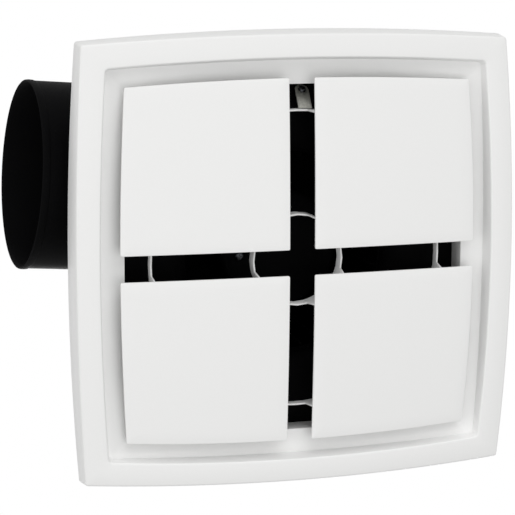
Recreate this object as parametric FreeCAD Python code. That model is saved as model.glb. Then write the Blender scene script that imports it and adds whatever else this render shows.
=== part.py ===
"""Side-ducted ceiling exhaust fan with a four-panel fascia.

The origin is the centre of the ceiling face that the fan is fixed to. +Z points up into the ceiling void,
the fascia hangs below, and the duct outlet points to +X. All sizes are millimetres.
"""
import FreeCAD, Part
import math
import os

Vector = FreeCAD.Vector
Z_AXIS = Vector(0, 0, 1)
DOWN = Vector(0, 0, -1)

# Fascia frame: a domed square surround whose four sides bow outwards
frame_rim_middle = 175.0
frame_rim_corner = 168.3
frame_wall_lean = 0.088
frame_crown = -31.3
frame_dome_radius = 2030.0
frame_wall = 2.5
frame_corner_radius = 2.6
frame_edge_chamfer = 1.0
frame_rib_top = -4.0

# Recess in the frame: a channel round the panels with a flat floor
recess_edge_middle = 155.0
recess_edge_corner = 149.0
recess_wall_lean = 0.176
recess_floor = -12.8
recess_corner_radius = 3.2
opening_half = 134.3
opening_gusset = 222.0
collar_wall = 2.2
collar_top = 7.0
collar_corner_radius = 6.0

# Grille: four quadrant panels on two rings
panel_middle = 139.9
panel_corner = 135.1
panel_crown = -30.5
panel_dome_radius = 1820.0
panel_thickness = 3.2
panel_corner_radius = 1.2
panel_edge_chamfer = 0.5
slot_half = 9.67
ring_wall = 1.8
ring_rear = -3.3
outer_ring_radius = 114.4
outer_ring_notch = -14.6
inner_ring_radius = 35.1
inner_ring_notch = -17.5
notch_half = 5.2
notch_ramp = 8.6
rib_bite = 0.4
post_place = 118.0
post_radius = 5.0
post_pilot_depth = 7.0
rib_thickness = 1.8
rib_depth = 6.0

# Inlet tray: ceiling flange, square mouth and a plate with a bell mouth
flange_half = 158.0
flange_thickness = 3.0
flange_corner_radius = 12.0
fixing_place = 150.0
fixing_hole_radius = 2.6
mouth_half = 139.0
mouth_wall = 2.5
mouth_corner_radius = 6.0
plate_bottom = 10.0
plate_top = 12.5
bell_outer_radius = 96.0
bell_throat_radius = 80.0
bell_lip = 21.0
bell_wall = 2.2

# Retaining clips: sloping spring strips whose tips press on the outer ring of the grille
clip_angle = 93.8
clip_count = 3
clip_width = 11.0
clip_end_radius = 5.4
clip_thickness = 1.2
clip_slope = 44.4
clip_tip = -9.3
clip_screw_along = 18.1
clip_screw_head = 3.0
clip_screw_length = 5.0
clip_boss_start = 11.0
clip_boss_end = 23.0
clip_boss_width = 9.0
clip_gap = 0.35

# Outlet: measured rim centre, turned in plan and falling slightly towards the rim
outlet_turn = 4.5
outlet_fall = 2.6
rim_centre = Vector(194.4, 58.3, 87.6)
spigot_length = 60.0
spigot_radius = 73.9
spigot_bead_radius = 74.2
spigot_bead_length = 3.0
spigot_bore = 71.3
spigot_flange_half = 74.0
spigot_flange = 3.0
spigot_flange_corner = 10.0
spigot_screw_place = 64.0

# Backdraft flap in the spigot: shut, it leans past plumb, so that its weight holds it on its stops
flap_place = 30.0
flap_closed_lean = 6.0
flap_radius = 70.3
flap_thickness = 2.0
flap_pivot_height = 8.0
flap_hub_radius = 3.8
flap_hub_half_length = 60.0
flap_bead_place = 26.0
pin_radius = 2.0
pin_half_length = 72.3
pin_fit = 0.06
flap_stop_gap = 0.3
flap_stop_width = 1.5
flap_stop_height = 3.8

# Scroll casing, and the cover on it that carries the motor
casing_wall = 2.5
casing_inner_top = 163.0
casing_top = 166.0
tongue_radius = 97.0
throat_half = 72.5
lip_width = 9.0
lip_thickness = 3.0
end_plate = 3.0
boss_radius = 4.2
boss_length = 20.0
boss_offset = 4.9
well_radius = 55.5
well_floor = 121.0
well_floor_thickness = 3.0
well_wire_hole = 9.0
top_rib_height = 5.0
top_rib_count = 12

# Impeller: forward-curved blades between a deep hub cup and a ring
impeller_radius = 92.0
blade_inner_radius = 75.0
blade_count = 32
blade_lean = 7.0
blade_bulge = 1.6
blade_thickness = 1.5
backplate_bottom = 108.0
backplate_thickness = 2.4
ring_bottom = 23.5
ring_top = 25.6
ring_inner_radius = 79.0
cup_radius = 46.4
cup_wall = 2.2
cup_face = 36.0
cup_face_thickness = 2.4
hub_screw_radius = 32.5
hub_screw_angle = -8.7

# External-rotor motor
rotor_radius = 44.0
rotor_wall = 2.5
rotor_top = 112.0
rotor_boss_radius = 8.0
rotor_boss_top = 50.0
shaft_radius = 4.0
shaft_top = 117.0
circlip_place = 111.4
circlip_thickness = 1.0
circlip_groove = 3.2
circlip_radius = 6.4
circlip_opening = 4.0
bearing_radius = 11.0
bearing_width = 7.0
shield_inner = 6.0
shield_outer = 9.4
shield_depth = 0.5
shield_slope = 0.2
bearing_lower_place = 54.0
bearing_upper_place = 104.0
bearing_fit = 0.03
tube_radius = 14.0
tube_bottom = 52.0
tube_step_radius = 9.0
mount_disc_radius = 42.0
mount_disc_bottom = 114.0
motor_screw_radius = 34.0
core_radius = 40.9
core_bottom = 66.0
core_top = 96.0
core_slots = 12
core_slot_place = 29.5
core_slot_radius = 4.6
core_slot_mouth = 2.4
winding_height = 7.0
winding_inner = 21.0
winding_outer = 37.0

# Terminal box in one corner of the tray, capacitor in another
box_place = -117.0
box_half = 22.0
box_wall = 2.0
box_top = 52.0
box_corner_radius = 4.0
box_pillar_radius = 3.4
box_screw_spread = 15.0
cover_thickness = 2.5
cover_edge_chamfer = 0.8
cover_screw_spread = 16.0
block_length = 26.0
block_width = 15.0
block_height = 14.0
block_terminals = 4
block_screw_well = 1.7
block_wire_hole = 1.5
gland_height = 32.0
gland_bore = 4.5
gland_radius = 10.0
gland_length = 12.0
gland_hexagon = 5.0
gland_stub = 3.0
capacitor_place = 118.0
capacitor_radius = 17.0
capacitor_top = 74.0
capacitor_rim = 1.5
tab_thickness = 0.8
tab_width = 6.3
tab_height = 8.5
tab_spread = 6.0
clamp_wall = 1.5
clamp_top = 28.5
clamp_foot_reach = 30.0
clamp_foot_width = 14.0
clamp_foot_radius = 5.0
clamp_screw_reach = 24.0

# Fasteners: tapping screws in the mouldings, machine screws in the motor
tapping_shank = 1.38
tapping_pilot = 1.4
tapping_clear = 1.9
machine_shank = 1.68
machine_hole = 1.7
machine_clear = 2.1
screw_head_radius = 3.6
screw_head_height = 2.3
grille_screw_length = 8.4
casing_screw_length = 6.5
cover_screw_length = 11.0
spigot_screw_length = 5.8
hub_screw_length = 6.4
motor_screw_length = 9.0
box_screw_length = 5.0
box_cover_screw_length = 9.0
clamp_screw_length = 4.2
boss_pilot_depth = 10.0

# The four corners of a square, as signs
CORNERS = ((1, 1), (-1, 1), (-1, -1), (1, -1))


# Shared shapes

def bowed_outline(half_middle, half_corner, z):
    """Closed outline of four arcs that bow outwards between the corners of a square."""
    corners = [Vector(half_corner * x, half_corner * y, z) for x, y in ((1, -1), (1, 1), (-1, 1), (-1, -1))]
    middles = [Vector(half_middle * x, half_middle * y, z) for x, y in ((1, 0), (0, 1), (-1, 0), (0, -1))]
    sides = [Part.Arc(corners[i], middles[i], corners[(i + 1) % 4]).toShape() for i in range(4)]
    return Part.Wire(sides)


def upright_edges(solid):
    """Edges of a solid that climb from its bottom to its top."""
    return [edge for edge in solid.Edges if abs(edge.Vertexes[0].Z - edge.Vertexes[-1].Z) > 1.0]


def bowed_block(low, high, corner_radius):
    """Solid between two bowed outlines, each (half_middle, half_corner, z), with rounded corners."""
    block = Part.makeLoft([bowed_outline(*low), bowed_outline(*high)], True, True)
    return block.makeFillet(corner_radius, upright_edges(block))


def square_block(half, z_low, z_high, corner_radius):
    """Square block with rounded upright edges, centred on Z."""
    block = Part.makeBox(2 * half, 2 * half, z_high - z_low, Vector(-half, -half, z_low))
    return block.makeFillet(corner_radius, upright_edges(block))


def cylinder(radius, z_low, z_high, x=0.0, y=0.0):
    return Part.makeCylinder(radius, z_high - z_low, Vector(x, y, z_low))


def tube(inner, outer, z_low, z_high, x=0.0, y=0.0):
    return cylinder(outer, z_low, z_high, x, y).cut(cylinder(inner, z_low, z_high, x, y))


def dome(radius, crown_z):
    """Ball whose lowest point is the crown of a domed front."""
    return Part.makeSphere(radius, Vector(0, 0, crown_z + radius))


def revolved(edges):
    """Solid of revolution about Z from a closed profile in the XZ plane."""
    return Part.Face(Part.Wire(edges)).revolve(Vector(0, 0, 0), Z_AXIS, 360)


def profile(points):
    """Closed straight-sided profile in the XZ plane from (radius, z) pairs."""
    corners = [Vector(r, 0, z) for r, z in points]
    return Part.makePolygon(corners + [corners[0]]).Edges


def turned(shape, angle):
    """Copy of a shape turned about Z."""
    copy = shape.copy()
    copy.rotate(Vector(0, 0, 0), Z_AXIS, angle)
    return copy


def placed(shape, position, direction=Z_AXIS):
    """Copy of a shape moved to a position with its Z axis along a direction."""
    copy = shape.copy()
    copy.Placement = FreeCAD.Placement(position, FreeCAD.Rotation(Z_AXIS, direction))
    return copy


def polar(radius, angle, z):
    return Vector(radius * math.cos(math.radians(angle)), radius * math.sin(math.radians(angle)), z)


def screw(length, shank_radius=tapping_shank, head_radius=screw_head_radius):
    """Plain screw: the head's seat is at z 0, the head below it, the shank above."""
    points = [(0, -screw_head_height), (head_radius, -screw_head_height), (head_radius, 0),
              (shank_radius, 0), (shank_radius, length), (0, length)]
    return revolved(profile(points))


def at_outlet(shape):
    """Copy of a shape from the outlet's own frame, where X runs out along the duct from the flange face."""
    turn = FreeCAD.Rotation(Z_AXIS, outlet_turn).multiply(FreeCAD.Rotation(Vector(0, 1, 0), outlet_fall))
    root = rim_centre - turn.multVec(Vector(spigot_length, 0, 0))
    copy = shape.copy()
    copy.Placement = FreeCAD.Placement(root, turn).multiply(copy.Placement)
    return copy


def outlet_cylinder(radius, x_low, x_high):
    return Part.makeCylinder(radius, x_high - x_low, Vector(x_low, 0, 0), Vector(1, 0, 0))


# Fascia

def lean_block(middle, corner, lean, grow, z_edge_middle, z_edge_corner, z_low, z_high, corner_radius):
    """Bowed block whose walls lean, given its half widths where they meet the front."""
    def outline(z):
        half_middle = middle + lean * (z_edge_middle - z) + grow
        half_corner = corner + lean * (z_edge_corner - z) + grow
        return (half_middle, half_corner, z)
    return bowed_block(outline(z_low), outline(z_high), corner_radius)


def dome_height(radius, crown_z, x, y):
    return crown_z + (x * x + y * y) / (2 * radius)


def frame_block(grow, z_high):
    """Outer form of the frame, or its inner form where grow is negative."""
    z_low = frame_crown - 10.0
    inner_corner_share = 0.4
    corner_radius = frame_corner_radius + inner_corner_share * min(grow, 0)
    return lean_block(frame_rim_middle, frame_rim_corner, -frame_wall_lean, grow, 0.0, 0.0, z_low, z_high,
                      corner_radius)


def recess_block(grow, floor):
    """Space of the recess in front of its floor, widened by grow."""
    edge_middle = dome_height(frame_dome_radius, frame_crown, recess_edge_middle, 0)
    edge_corner = dome_height(frame_dome_radius, frame_crown, recess_edge_corner, recess_edge_corner)
    return lean_block(recess_edge_middle, recess_edge_corner, recess_wall_lean, grow,
                      edge_middle, edge_corner, frame_crown - 10.0, floor, recess_corner_radius + grow)


def make_fascia_frame():
    front = frame_block(0.0, 0.0).common(dome(frame_dome_radius, frame_crown))
    front = front.makeChamfer(frame_edge_chamfer, front_outline(front))
    front = front.cut(recess_block(0.0, recess_floor))
    floor_back = recess_floor + frame_wall
    behind = frame_block(-frame_wall, 1.0).common(dome(frame_dome_radius, frame_crown + frame_wall))
    behind = behind.cut(recess_block(frame_wall, floor_back))
    shell = front.cut(behind)
    opening = square_block(opening_half, recess_floor - 1.0, floor_back + 1.0, 1.0)
    gusset_cut = Part.makeBox(opening_gusset * math.sqrt(2), opening_gusset * math.sqrt(2), 40.0)
    gusset_cut.translate(Vector(-opening_gusset / math.sqrt(2), -opening_gusset / math.sqrt(2), -30.0))
    gusset_cut.rotate(Vector(0, 0, 0), Z_AXIS, 45)
    shell = shell.cut(opening.common(gusset_cut))
    collar = square_block(opening_half + collar_wall, recess_floor, collar_top, collar_corner_radius)
    collar = collar.cut(square_block(opening_half, recess_floor - 1.0, collar_top + 1.0,
                                     collar_corner_radius - collar_wall))
    frame = shell.fuse([collar] + frame_ribs(behind))
    holes = [cylinder(tapping_clear, recess_floor - 1.0, floor_back + 1.0, post_place * x, post_place * y)
             for x, y in CORNERS]
    return frame.cut(holes).removeSplitter()


def front_outline(front):
    """Edges where the domed front meets the side walls."""
    return [edge for edge in front.Edges
            if all(vertex.Z < -5.0 for vertex in edge.Vertexes)
            and math.hypot(edge.CenterOfMass.x, edge.CenterOfMass.y) > recess_edge_middle]


def frame_ribs(behind):
    """Stiffening ribs between the recess wall and the side wall, three to a side."""
    ribs = []
    tall, wide = 40.0, 60.0
    for quarter in range(4):
        for along in (-90.0, 0.0, 90.0):
            corner = Vector(recess_edge_corner - 1.0, along, frame_rib_top - tall)
            rib = Part.makeBox(wide, rib_thickness, tall, corner)
            ribs.append(turned(rib, 90 * quarter).common(behind))
    return ribs


def make_grille_panel(quarter):
    """Quadrant panel with a rib and a screw post on its back, turned into its corner."""
    panel = quadrant_panel().fuse([turned(panel_rib(), 45), corner_post()])
    pilot = cylinder(tapping_pilot, recess_floor - post_pilot_depth, recess_floor, post_place, post_place)
    return turned(panel.cut(pilot).removeSplitter(), 90 * quarter)


def behind_panels(depth):
    """Ball that fills the space behind the panels' front surface, from a given depth."""
    return dome(panel_dome_radius - depth, panel_crown + depth)


def quadrant_panel():
    """One domed panel, with rounded corners and a softened front edge."""
    front, depth, beyond = -45.0, 45.0, 200.0
    block = Part.Face(bowed_outline(panel_middle, panel_corner, front)).extrude(Vector(0, 0, depth))
    block = block.common(Part.makeBox(beyond, beyond, depth, Vector(slot_half, slot_half, front)))
    block = block.makeFillet(panel_corner_radius, upright_edges(block))
    panel = block.common(behind_panels(0.0))
    front_edges = [edge for edge in panel.Edges if all(vertex.Z < recess_floor for vertex in edge.Vertexes)]
    panel = panel.makeChamfer(panel_edge_chamfer, front_edges)
    return panel.cut(behind_panels(panel_thickness))


def grille_ring(radius, notch_z):
    """Ring on the backs of the panels, notched where it crosses the slots."""
    ring = ring_tube(radius).common(behind_panels(panel_thickness))
    for quarter in range(4):
        ring = ring.cut(turned(slot_notch(notch_z), 90 * quarter))
    return ring


def ring_tube(radius):
    return tube(radius - ring_wall / 2, radius + ring_wall / 2, -40.0, ring_rear)


def slot_notch(notch_z):
    """Wedge along +X that takes a ring's front edge down inside a slot."""
    points = [(notch_half, notch_z), (slot_half, notch_z - notch_ramp), (slot_half, -45.0),
              (-slot_half, -45.0), (-slot_half, notch_z - notch_ramp), (-notch_half, notch_z)]
    corners = [Vector(10.0, y, z) for y, z in points]
    face = Part.Face(Part.makePolygon(corners + [corners[0]]))
    return face.extrude(Vector(150.0, 0, 0))


def panel_rib():
    """Rib along +X on the back of a panel, from the inner ring past the outer one to the corner post."""
    start = inner_ring_radius + ring_wall / 2
    length, front, tall = post_place * math.sqrt(2) - start, -45.0, 40.0
    rib = Part.makeBox(length, rib_thickness, tall, Vector(start, -rib_thickness / 2, front))
    rib = rib.common(behind_panels(panel_thickness - rib_bite))
    rib = rib.cut(behind_panels(panel_thickness + rib_depth))
    return rib.cut([ring_tube(inner_ring_radius), ring_tube(outer_ring_radius)])


def corner_post():
    post = cylinder(post_radius, -40.0, recess_floor, post_place, post_place)
    return post.common(behind_panels(panel_thickness - rib_bite))


def make_grille_screws():
    seat = recess_floor + frame_wall
    fastener = screw(grille_screw_length)
    return [placed(fastener, Vector(post_place * x, post_place * y, seat), DOWN) for x, y in CORNERS]


# Inlet tray and the clips on it

def make_inlet_tray():
    tray = square_block(flange_half, -flange_thickness, 0.0, flange_corner_radius)
    outer = mouth_half + mouth_wall
    tray = tray.fuse(square_block(outer, -flange_thickness, plate_top, mouth_corner_radius + 2.0))
    tray = tray.cut(square_block(mouth_half, -flange_thickness - 1.0, plate_bottom, mouth_corner_radius))
    tray = tray.cut(cylinder(bell_outer_radius, plate_bottom - 1.0, plate_top + 1.0))
    tray = tray.fuse([bell_mouth()] + [turned(clip_boss(), angle) for angle in clip_angles()])
    holes = []
    for x, y in CORNERS:
        place = Vector(fixing_place * x, fixing_place * y, 0)
        holes.append(cylinder(fixing_hole_radius, -flange_thickness - 1.0, 1.0, place.x, place.y))
    for place in casing_screw_places() + [clamp_screw_place(), box_screw_place(1), box_screw_place(-1)]:
        holes.append(cylinder(tapping_pilot, plate_bottom - 1.0, plate_top + 1.0, place.x, place.y))
    pilot = cylinder(tapping_pilot, 0.0, clip_screw_length + 0.5, clip_screw_along)
    holes += [turned(on_clip(pilot), angle) for angle in clip_angles()]
    return tray.cut(holes).removeSplitter()


def bell_mouth():
    """Rolled inlet lip, from the plate up to the eye of the impeller."""
    low_start = Vector(bell_outer_radius, 0, plate_bottom)
    low_end = Vector(bell_throat_radius, 0, bell_lip)
    high_start = Vector(bell_outer_radius, 0, plate_top)
    high_end = Vector(bell_throat_radius + bell_wall, 0, bell_lip)
    edges = [quarter_curve(low_start, low_end), Part.makeLine(low_end, high_end),
             quarter_curve(high_end, high_start), Part.makeLine(high_start, low_start)]
    return revolved(edges)


def quarter_curve(start, end):
    """Arc near a quarter ellipse, level at the outer end and upright at the throat."""
    share = 1 - math.sqrt(0.5)
    throat, plate = min(start.x, end.x), min(start.z, end.z)
    middle = Vector(throat + share * abs(start.x - end.x), 0, plate + share * abs(start.z - end.z))
    return Part.Arc(start, middle, end).toShape()


def clip_angles():
    return [clip_angle + 360.0 / clip_count * index for index in range(clip_count)]


def on_clip(shape):
    """Copy of a shape from the clip's own frame: X runs up the strip from its tip, Z points into the boss."""
    tip = Vector(outer_ring_radius + ring_wall / 2 + clip_gap, 0, clip_tip)
    slope = FreeCAD.Placement(tip, FreeCAD.Rotation(Vector(0, -1, 0), clip_slope))
    copy = shape.copy()
    copy.Placement = slope.multiply(copy.Placement)
    return copy


def clip_boss():
    """Wedge under the plate, with upright walls and a sloping face that the clip is screwed against."""
    ends = [Vector(along, 0, clip_thickness) for along in (clip_boss_start, clip_boss_end)]
    low, high = [vertex.Point for vertex in on_clip(Part.makeLine(*ends)).Vertexes]
    bite = 0.5
    top = plate_bottom + bite
    wedge = Part.Face(Part.Wire(profile([(low.x, low.z), (high.x, high.z), (high.x, top), (low.x, top)])))
    wedge = wedge.extrude(Vector(0, clip_boss_width, 0))
    wedge.translate(Vector(0, -clip_boss_width / 2, 0))
    return wedge


def make_retaining_clips():
    """Spring strips that slope from their bosses to the outer ring, with a rounded end round the screw."""
    beyond, half = 3.0, clip_width / 2
    length = clip_screw_along + half + beyond
    strip = Part.makeBox(length, clip_width, clip_thickness, Vector(-beyond, -half, 0))
    ends = [edge for edge in upright_edges(strip) if edge.CenterOfMass.x > clip_screw_along]
    strip = strip.makeFillet(clip_end_radius, ends)
    strip = strip.cut(cylinder(tapping_clear, -1.0, clip_thickness + 1.0, clip_screw_along))
    inside = cylinder(outer_ring_radius + ring_wall / 2 + clip_gap, clip_tip - 10.0, plate_bottom)
    strip = on_clip(strip).cut(inside)
    return [turned(strip, angle) for angle in clip_angles()]


def make_clip_screws():
    fastener = screw(clip_screw_length, head_radius=clip_screw_head)
    seated = on_clip(placed(fastener, Vector(clip_screw_along, 0, 0)))
    return [turned(seated, angle) for angle in clip_angles()]


# Scroll casing and what is screwed to it

def outlet_offset():
    """Distance of the duct's axis from the fan's axis, in plan."""
    a = math.radians(outlet_turn)
    return rim_centre.y * math.cos(a) - rim_centre.x * math.sin(a)


def scroll_wire(grow):
    """Plan outline of the spiral and its throat, in the outlet's turned plan axes, moved out by grow."""
    lower = outlet_offset() - throat_half - grow
    upper = outlet_offset() + throat_half + grow
    start = math.degrees(math.asin(lower / (tongue_radius + grow)))
    sweep = start + 270.0
    steps = 14
    spiral = []
    for step in range(steps + 1):
        radius = tongue_radius + grow + (upper - tongue_radius - grow) * step / steps
        spiral.append(polar(radius, start - sweep * step / steps, 0))
    curve = Part.BSplineCurve()
    curve.interpolate(spiral)
    far = 170.0
    corners = [spiral[-1], Vector(far, upper, 0), Vector(far, lower, 0), spiral[0]]
    lines = [Part.makeLine(corners[i], corners[i + 1]) for i in range(3)]
    return Part.Wire([curve.toShape()] + lines)


def scroll_block(grow, z_low, z_high, outlet_end):
    """Block of the scroll's plan, ended square to the duct at a place along it."""
    face = Part.Face(scroll_wire(grow))
    block = turned(face.extrude(Vector(0, 0, z_high - z_low)), outlet_turn)
    block.translate(Vector(0, 0, z_low))
    beyond = Part.makeBox(200.0, 600.0, 600.0, Vector(outlet_end, -300.0, -300.0))
    return block.cut(at_outlet(beyond))


def beside_wall(offset, shares, along_upper, along_lower):
    """Places outside the casing's inner wall: two beside the throat, the rest round the spiral."""
    lower = outlet_offset() - throat_half
    upper = outlet_offset() + throat_half
    places = [Vector(along_upper, upper + offset, 0), Vector(along_lower, lower - offset, 0)]
    start = math.degrees(math.asin(lower / tongue_radius))
    for share in shares:
        radius = tongue_radius + (upper - tongue_radius) * share + offset
        places.append(polar(radius, start - (start + 270.0) * share, 0))
    turn = FreeCAD.Rotation(Z_AXIS, outlet_turn)
    return [turn.multVec(place) for place in places]


def casing_screw_places():
    """Screws round the casing's foot, on the middle of its lip."""
    return beside_wall(casing_wall + lip_width / 2, (0.22, 0.40, 0.58, 0.76, 0.94), 105.0, 118.0)


def casing_cover_places():
    """Screws that hold the cover, on bosses round the casing's top."""
    return beside_wall(boss_offset, (0.13, 0.31, 0.49, 0.67, 0.85), 112.0, 112.0)


def make_scroll_casing():
    """Spiral wall with a foot, an end plate for the spigot and bosses for the cover."""
    casing = scroll_block(casing_wall, plate_top, casing_inner_top, 0.0)
    lip = scroll_block(casing_wall + lip_width, plate_top, plate_top + lip_thickness, 0.0)
    cavity = scroll_block(0.0, plate_top - 1.0, casing_inner_top + 1.0, -end_plate)
    casing = casing.fuse(lip).cut(cavity)
    casing = casing.cut(at_outlet(outlet_cylinder(spigot_bore, -end_plate - 3.0, 1.0)))
    casing = casing.fuse([cover_boss(place) for place in casing_cover_places()])
    holes = []
    lip_top = plate_top + lip_thickness
    pilot_bottom = casing_inner_top - boss_pilot_depth
    for place in casing_cover_places():
        holes.append(cylinder(tapping_pilot, pilot_bottom, casing_inner_top + 1.0, place.x, place.y))
    for place in casing_screw_places():
        holes.append(cylinder(tapping_clear, plate_top - 1.0, lip_top + 1.0, place.x, place.y))
    for y, z in CORNERS:
        pilot = outlet_cylinder(tapping_pilot, -end_plate - 1.0, 1.0)
        pilot.translate(Vector(0, spigot_screw_place * y, spigot_screw_place * z))
        holes.append(at_outlet(pilot))
    return casing.cut(holes).removeSplitter()


def cover_boss(place):
    """Screw boss on the outside of the casing, tapering into the wall below."""
    bottom = casing_inner_top - boss_length
    taper = 8.0
    cone = Part.makeCone(boss_radius - 3.2, boss_radius, taper, Vector(place.x, place.y, bottom))
    return cone.fuse(cylinder(boss_radius, bottom + taper, casing_inner_top, place.x, place.y))


def make_casing_cover():
    """Flat cover with the well that carries the motor, stiffened by ribs."""
    cover = scroll_block(casing_wall, casing_inner_top, casing_top, 0.0)
    places = casing_cover_places()
    ears = [cylinder(boss_radius, casing_inner_top, casing_top, place.x, place.y) for place in places]
    cover = cover.fuse(ears + [cylinder(well_radius + casing_wall, well_floor, casing_top)])
    cover = cover.cut(cylinder(well_radius, well_floor + well_floor_thickness, casing_top + 1.0))
    cover = cover.fuse(top_ribs())
    floor_low, floor_high = well_floor - 1.0, well_floor + well_floor_thickness + 1.0
    holes = [cylinder(well_wire_hole, floor_low, floor_high)]
    for place in motor_screw_places():
        holes.append(cylinder(machine_clear, floor_low, floor_high, place.x, place.y))
    for place in places:
        holes.append(cylinder(tapping_clear, casing_inner_top - 1.0, casing_top + 1.0, place.x, place.y))
    return cover.cut(holes).removeSplitter()


def top_ribs():
    """Ribs on the cover, from the motor well out to its edge, and the rim of the well."""
    bite, reach, width, short_of_end = 0.5, 130.0, 2.0, 1.0
    low = casing_top - bite
    plan = scroll_block(casing_wall, low, low + top_rib_height, -short_of_end)
    ribs = [tube(well_radius, well_radius + casing_wall, low, low + top_rib_height)]
    for index in range(top_rib_count):
        rib = Part.makeBox(reach, width, top_rib_height, Vector(well_radius + bite, -width / 2, low))
        ribs.append(turned(rib, outlet_turn + 360.0 / top_rib_count * index).common(plan))
    return ribs


def make_cover_screws():
    seat = Vector(0, 0, casing_top)
    return [placed(screw(cover_screw_length), place + seat, DOWN) for place in casing_cover_places()]


def make_casing_screws():
    seat = Vector(0, 0, plate_top + lip_thickness)
    return [placed(screw(casing_screw_length), place + seat, DOWN) for place in casing_screw_places()]


# Duct spigot and its flap

def make_duct_spigot():
    flange = Part.makeBox(spigot_flange, 2 * spigot_flange_half, 2 * spigot_flange_half,
                          Vector(0, -spigot_flange_half, -spigot_flange_half))
    corners = [edge for edge in flange.Edges if abs(edge.Vertexes[0].X - edge.Vertexes[-1].X) > 1.0]
    flange = flange.makeFillet(spigot_flange_corner, corners)
    plain = spigot_length - spigot_bead_length
    spigot = flange.fuse([outlet_cylinder(spigot_radius, 0.0, spigot_length - 0.5), rim_bead(plain)])
    spigot = spigot.cut(outlet_cylinder(spigot_bore, -1.0, spigot_length + 1.0))
    spigot = spigot.fuse([flap_stop(-1), flap_stop(1)])
    holes = [pin_bar(pin_radius + pin_fit, spigot_bead_radius + 5.0)]
    for y, z in CORNERS:
        hole = outlet_cylinder(tapping_clear, -1.0, spigot_flange + 1.0)
        hole.translate(Vector(0, spigot_screw_place * y, spigot_screw_place * z))
        holes.append(hole)
    return at_outlet(spigot.cut(holes).removeSplitter())


def rim_bead(plain):
    """Bead round the open end of the spigot, with broken edges."""
    bead = outlet_cylinder(spigot_bead_radius, plain, spigot_length)
    rims = [edge for edge in bead.Edges if edge.Closed]
    return bead.makeChamfer(spigot_bead_radius - spigot_radius, rims)


def pin_bar(radius, half_length):
    """Round bar along the flap's hinge line."""
    return Part.makeCylinder(radius, 2 * half_length, Vector(flap_place, -half_length, flap_pivot_height),
                             Vector(0, 1, 0))


def leaned(shape):
    """Copy of a shape swung about the hinge line to where the flap is shut, lower edge downstream."""
    copy = shape.copy()
    copy.rotate(Vector(flap_place, 0, flap_pivot_height), Vector(0, -1, 0), flap_closed_lean)
    return copy


def flap_stop(side):
    """Part ring that the flap closes against: below the pin it is upstream, above the pin downstream."""
    near = flap_place + side * (flap_thickness / 2 + flap_stop_gap)
    x_low = min(near, near + side * flap_stop_width)
    wall_middle = (spigot_bore + spigot_radius) / 2
    ring = outlet_cylinder(wall_middle, x_low, x_low + flap_stop_width)
    hole_radius = spigot_bore - flap_stop_height
    ring = ring.cut(outlet_cylinder(hole_radius, x_low - 1.0, x_low + flap_stop_width + 1.0))
    clear_of_pin, beyond = 10.0, 200.0
    edge = flap_pivot_height + clear_of_pin * side
    low = edge if side > 0 else edge - beyond
    keep = Part.makeBox(beyond, beyond, beyond, Vector(-beyond / 2, -beyond / 2, low))
    return leaned(ring.common(keep))


def make_spigot_screws():
    seats = [Vector(spigot_flange, spigot_screw_place * y, spigot_screw_place * z) for y, z in CORNERS]
    return [at_outlet(placed(screw(spigot_screw_length), seat, Vector(-1, 0, 0))) for seat in seats]


def make_damper_flap():
    """Disc with a hub along the pin and two stiffening beads."""
    near = flap_place - flap_thickness / 2
    disc = outlet_cylinder(flap_radius, near, near + flap_thickness)
    wide, deep, low, high = 2.0, 4.0, -55.0, 45.0
    beads = []
    for y in (-flap_bead_place, flap_bead_place):
        beads.append(Part.makeBox(deep, wide, high - low, Vector(flap_place - deep / 2, y - wide / 2, low)))
    flap = disc.fuse([pin_bar(flap_hub_radius, flap_hub_half_length)] + beads)
    return at_outlet(leaned(flap.cut(pin_bar(pin_radius, spigot_radius)).removeSplitter()))


def make_damper_pin():
    pin = pin_bar(pin_radius, pin_half_length)
    rims = [edge for edge in pin.Edges if edge.Closed]
    return at_outlet(pin.makeChamfer(0.4, rims))


# Impeller

def blade():
    """One forward-curved blade: an arc strip whose outer tip leans towards the turning direction."""
    half_angle = math.degrees(blade_thickness / (impeller_radius + blade_inner_radius))
    middle_radius = (impeller_radius + blade_inner_radius) / 2
    arcs = []
    for side in (1, -1):
        inner = polar(blade_inner_radius, side * half_angle, 0)
        middle = polar(middle_radius, blade_bulge - blade_lean / 2 + side * half_angle, 0)
        outer = polar(impeller_radius - 0.3, side * half_angle - blade_lean, 0)
        arcs.append((inner, middle, outer))
    first, second = arcs
    edges = [Part.Arc(*first).toShape(), Part.makeLine(first[2], second[2]),
             Part.Arc(*reversed(second)).toShape(), Part.makeLine(second[0], first[0])]
    strip = Part.Face(Part.Wire(edges)).extrude(Vector(0, 0, backplate_bottom - ring_top))
    strip.translate(Vector(0, 0, ring_top))
    return strip


def make_impeller_blades():
    return [turned(blade(), 360.0 / blade_count * index) for index in range(blade_count)]


def make_impeller_ring():
    return tube(ring_inner_radius, impeller_radius, ring_bottom, ring_top)


def make_impeller_hub():
    """Deep cup over the motor, with a backplate round its rear that carries the blades."""
    backplate_top = backplate_bottom + backplate_thickness
    cup = cylinder(cup_radius, cup_face, backplate_top)
    rim = [edge for edge in cup.Edges if edge.Closed and edge.CenterOfMass.z < cup_face + 1.0]
    cup = cup.makeChamfer(cup_wall, rim)
    hub = cup.fuse(cylinder(impeller_radius, backplate_bottom, backplate_top))
    hub = hub.cut(cylinder(cup_radius - cup_wall, cup_face + cup_face_thickness, backplate_top + 1.0))
    face_low, face_high = cup_face - 1.0, cup_face + cup_face_thickness + 1.0
    holes = [cylinder(shaft_radius + 1.0, face_low, face_high)]
    for place in hub_screw_places():
        holes.append(cylinder(machine_clear, face_low, face_high, place.x, place.y))
    return hub.cut(holes).removeSplitter()


def hub_screw_places():
    return [polar(hub_screw_radius, hub_screw_angle + 90 * index, cup_face) for index in range(4)]


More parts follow.
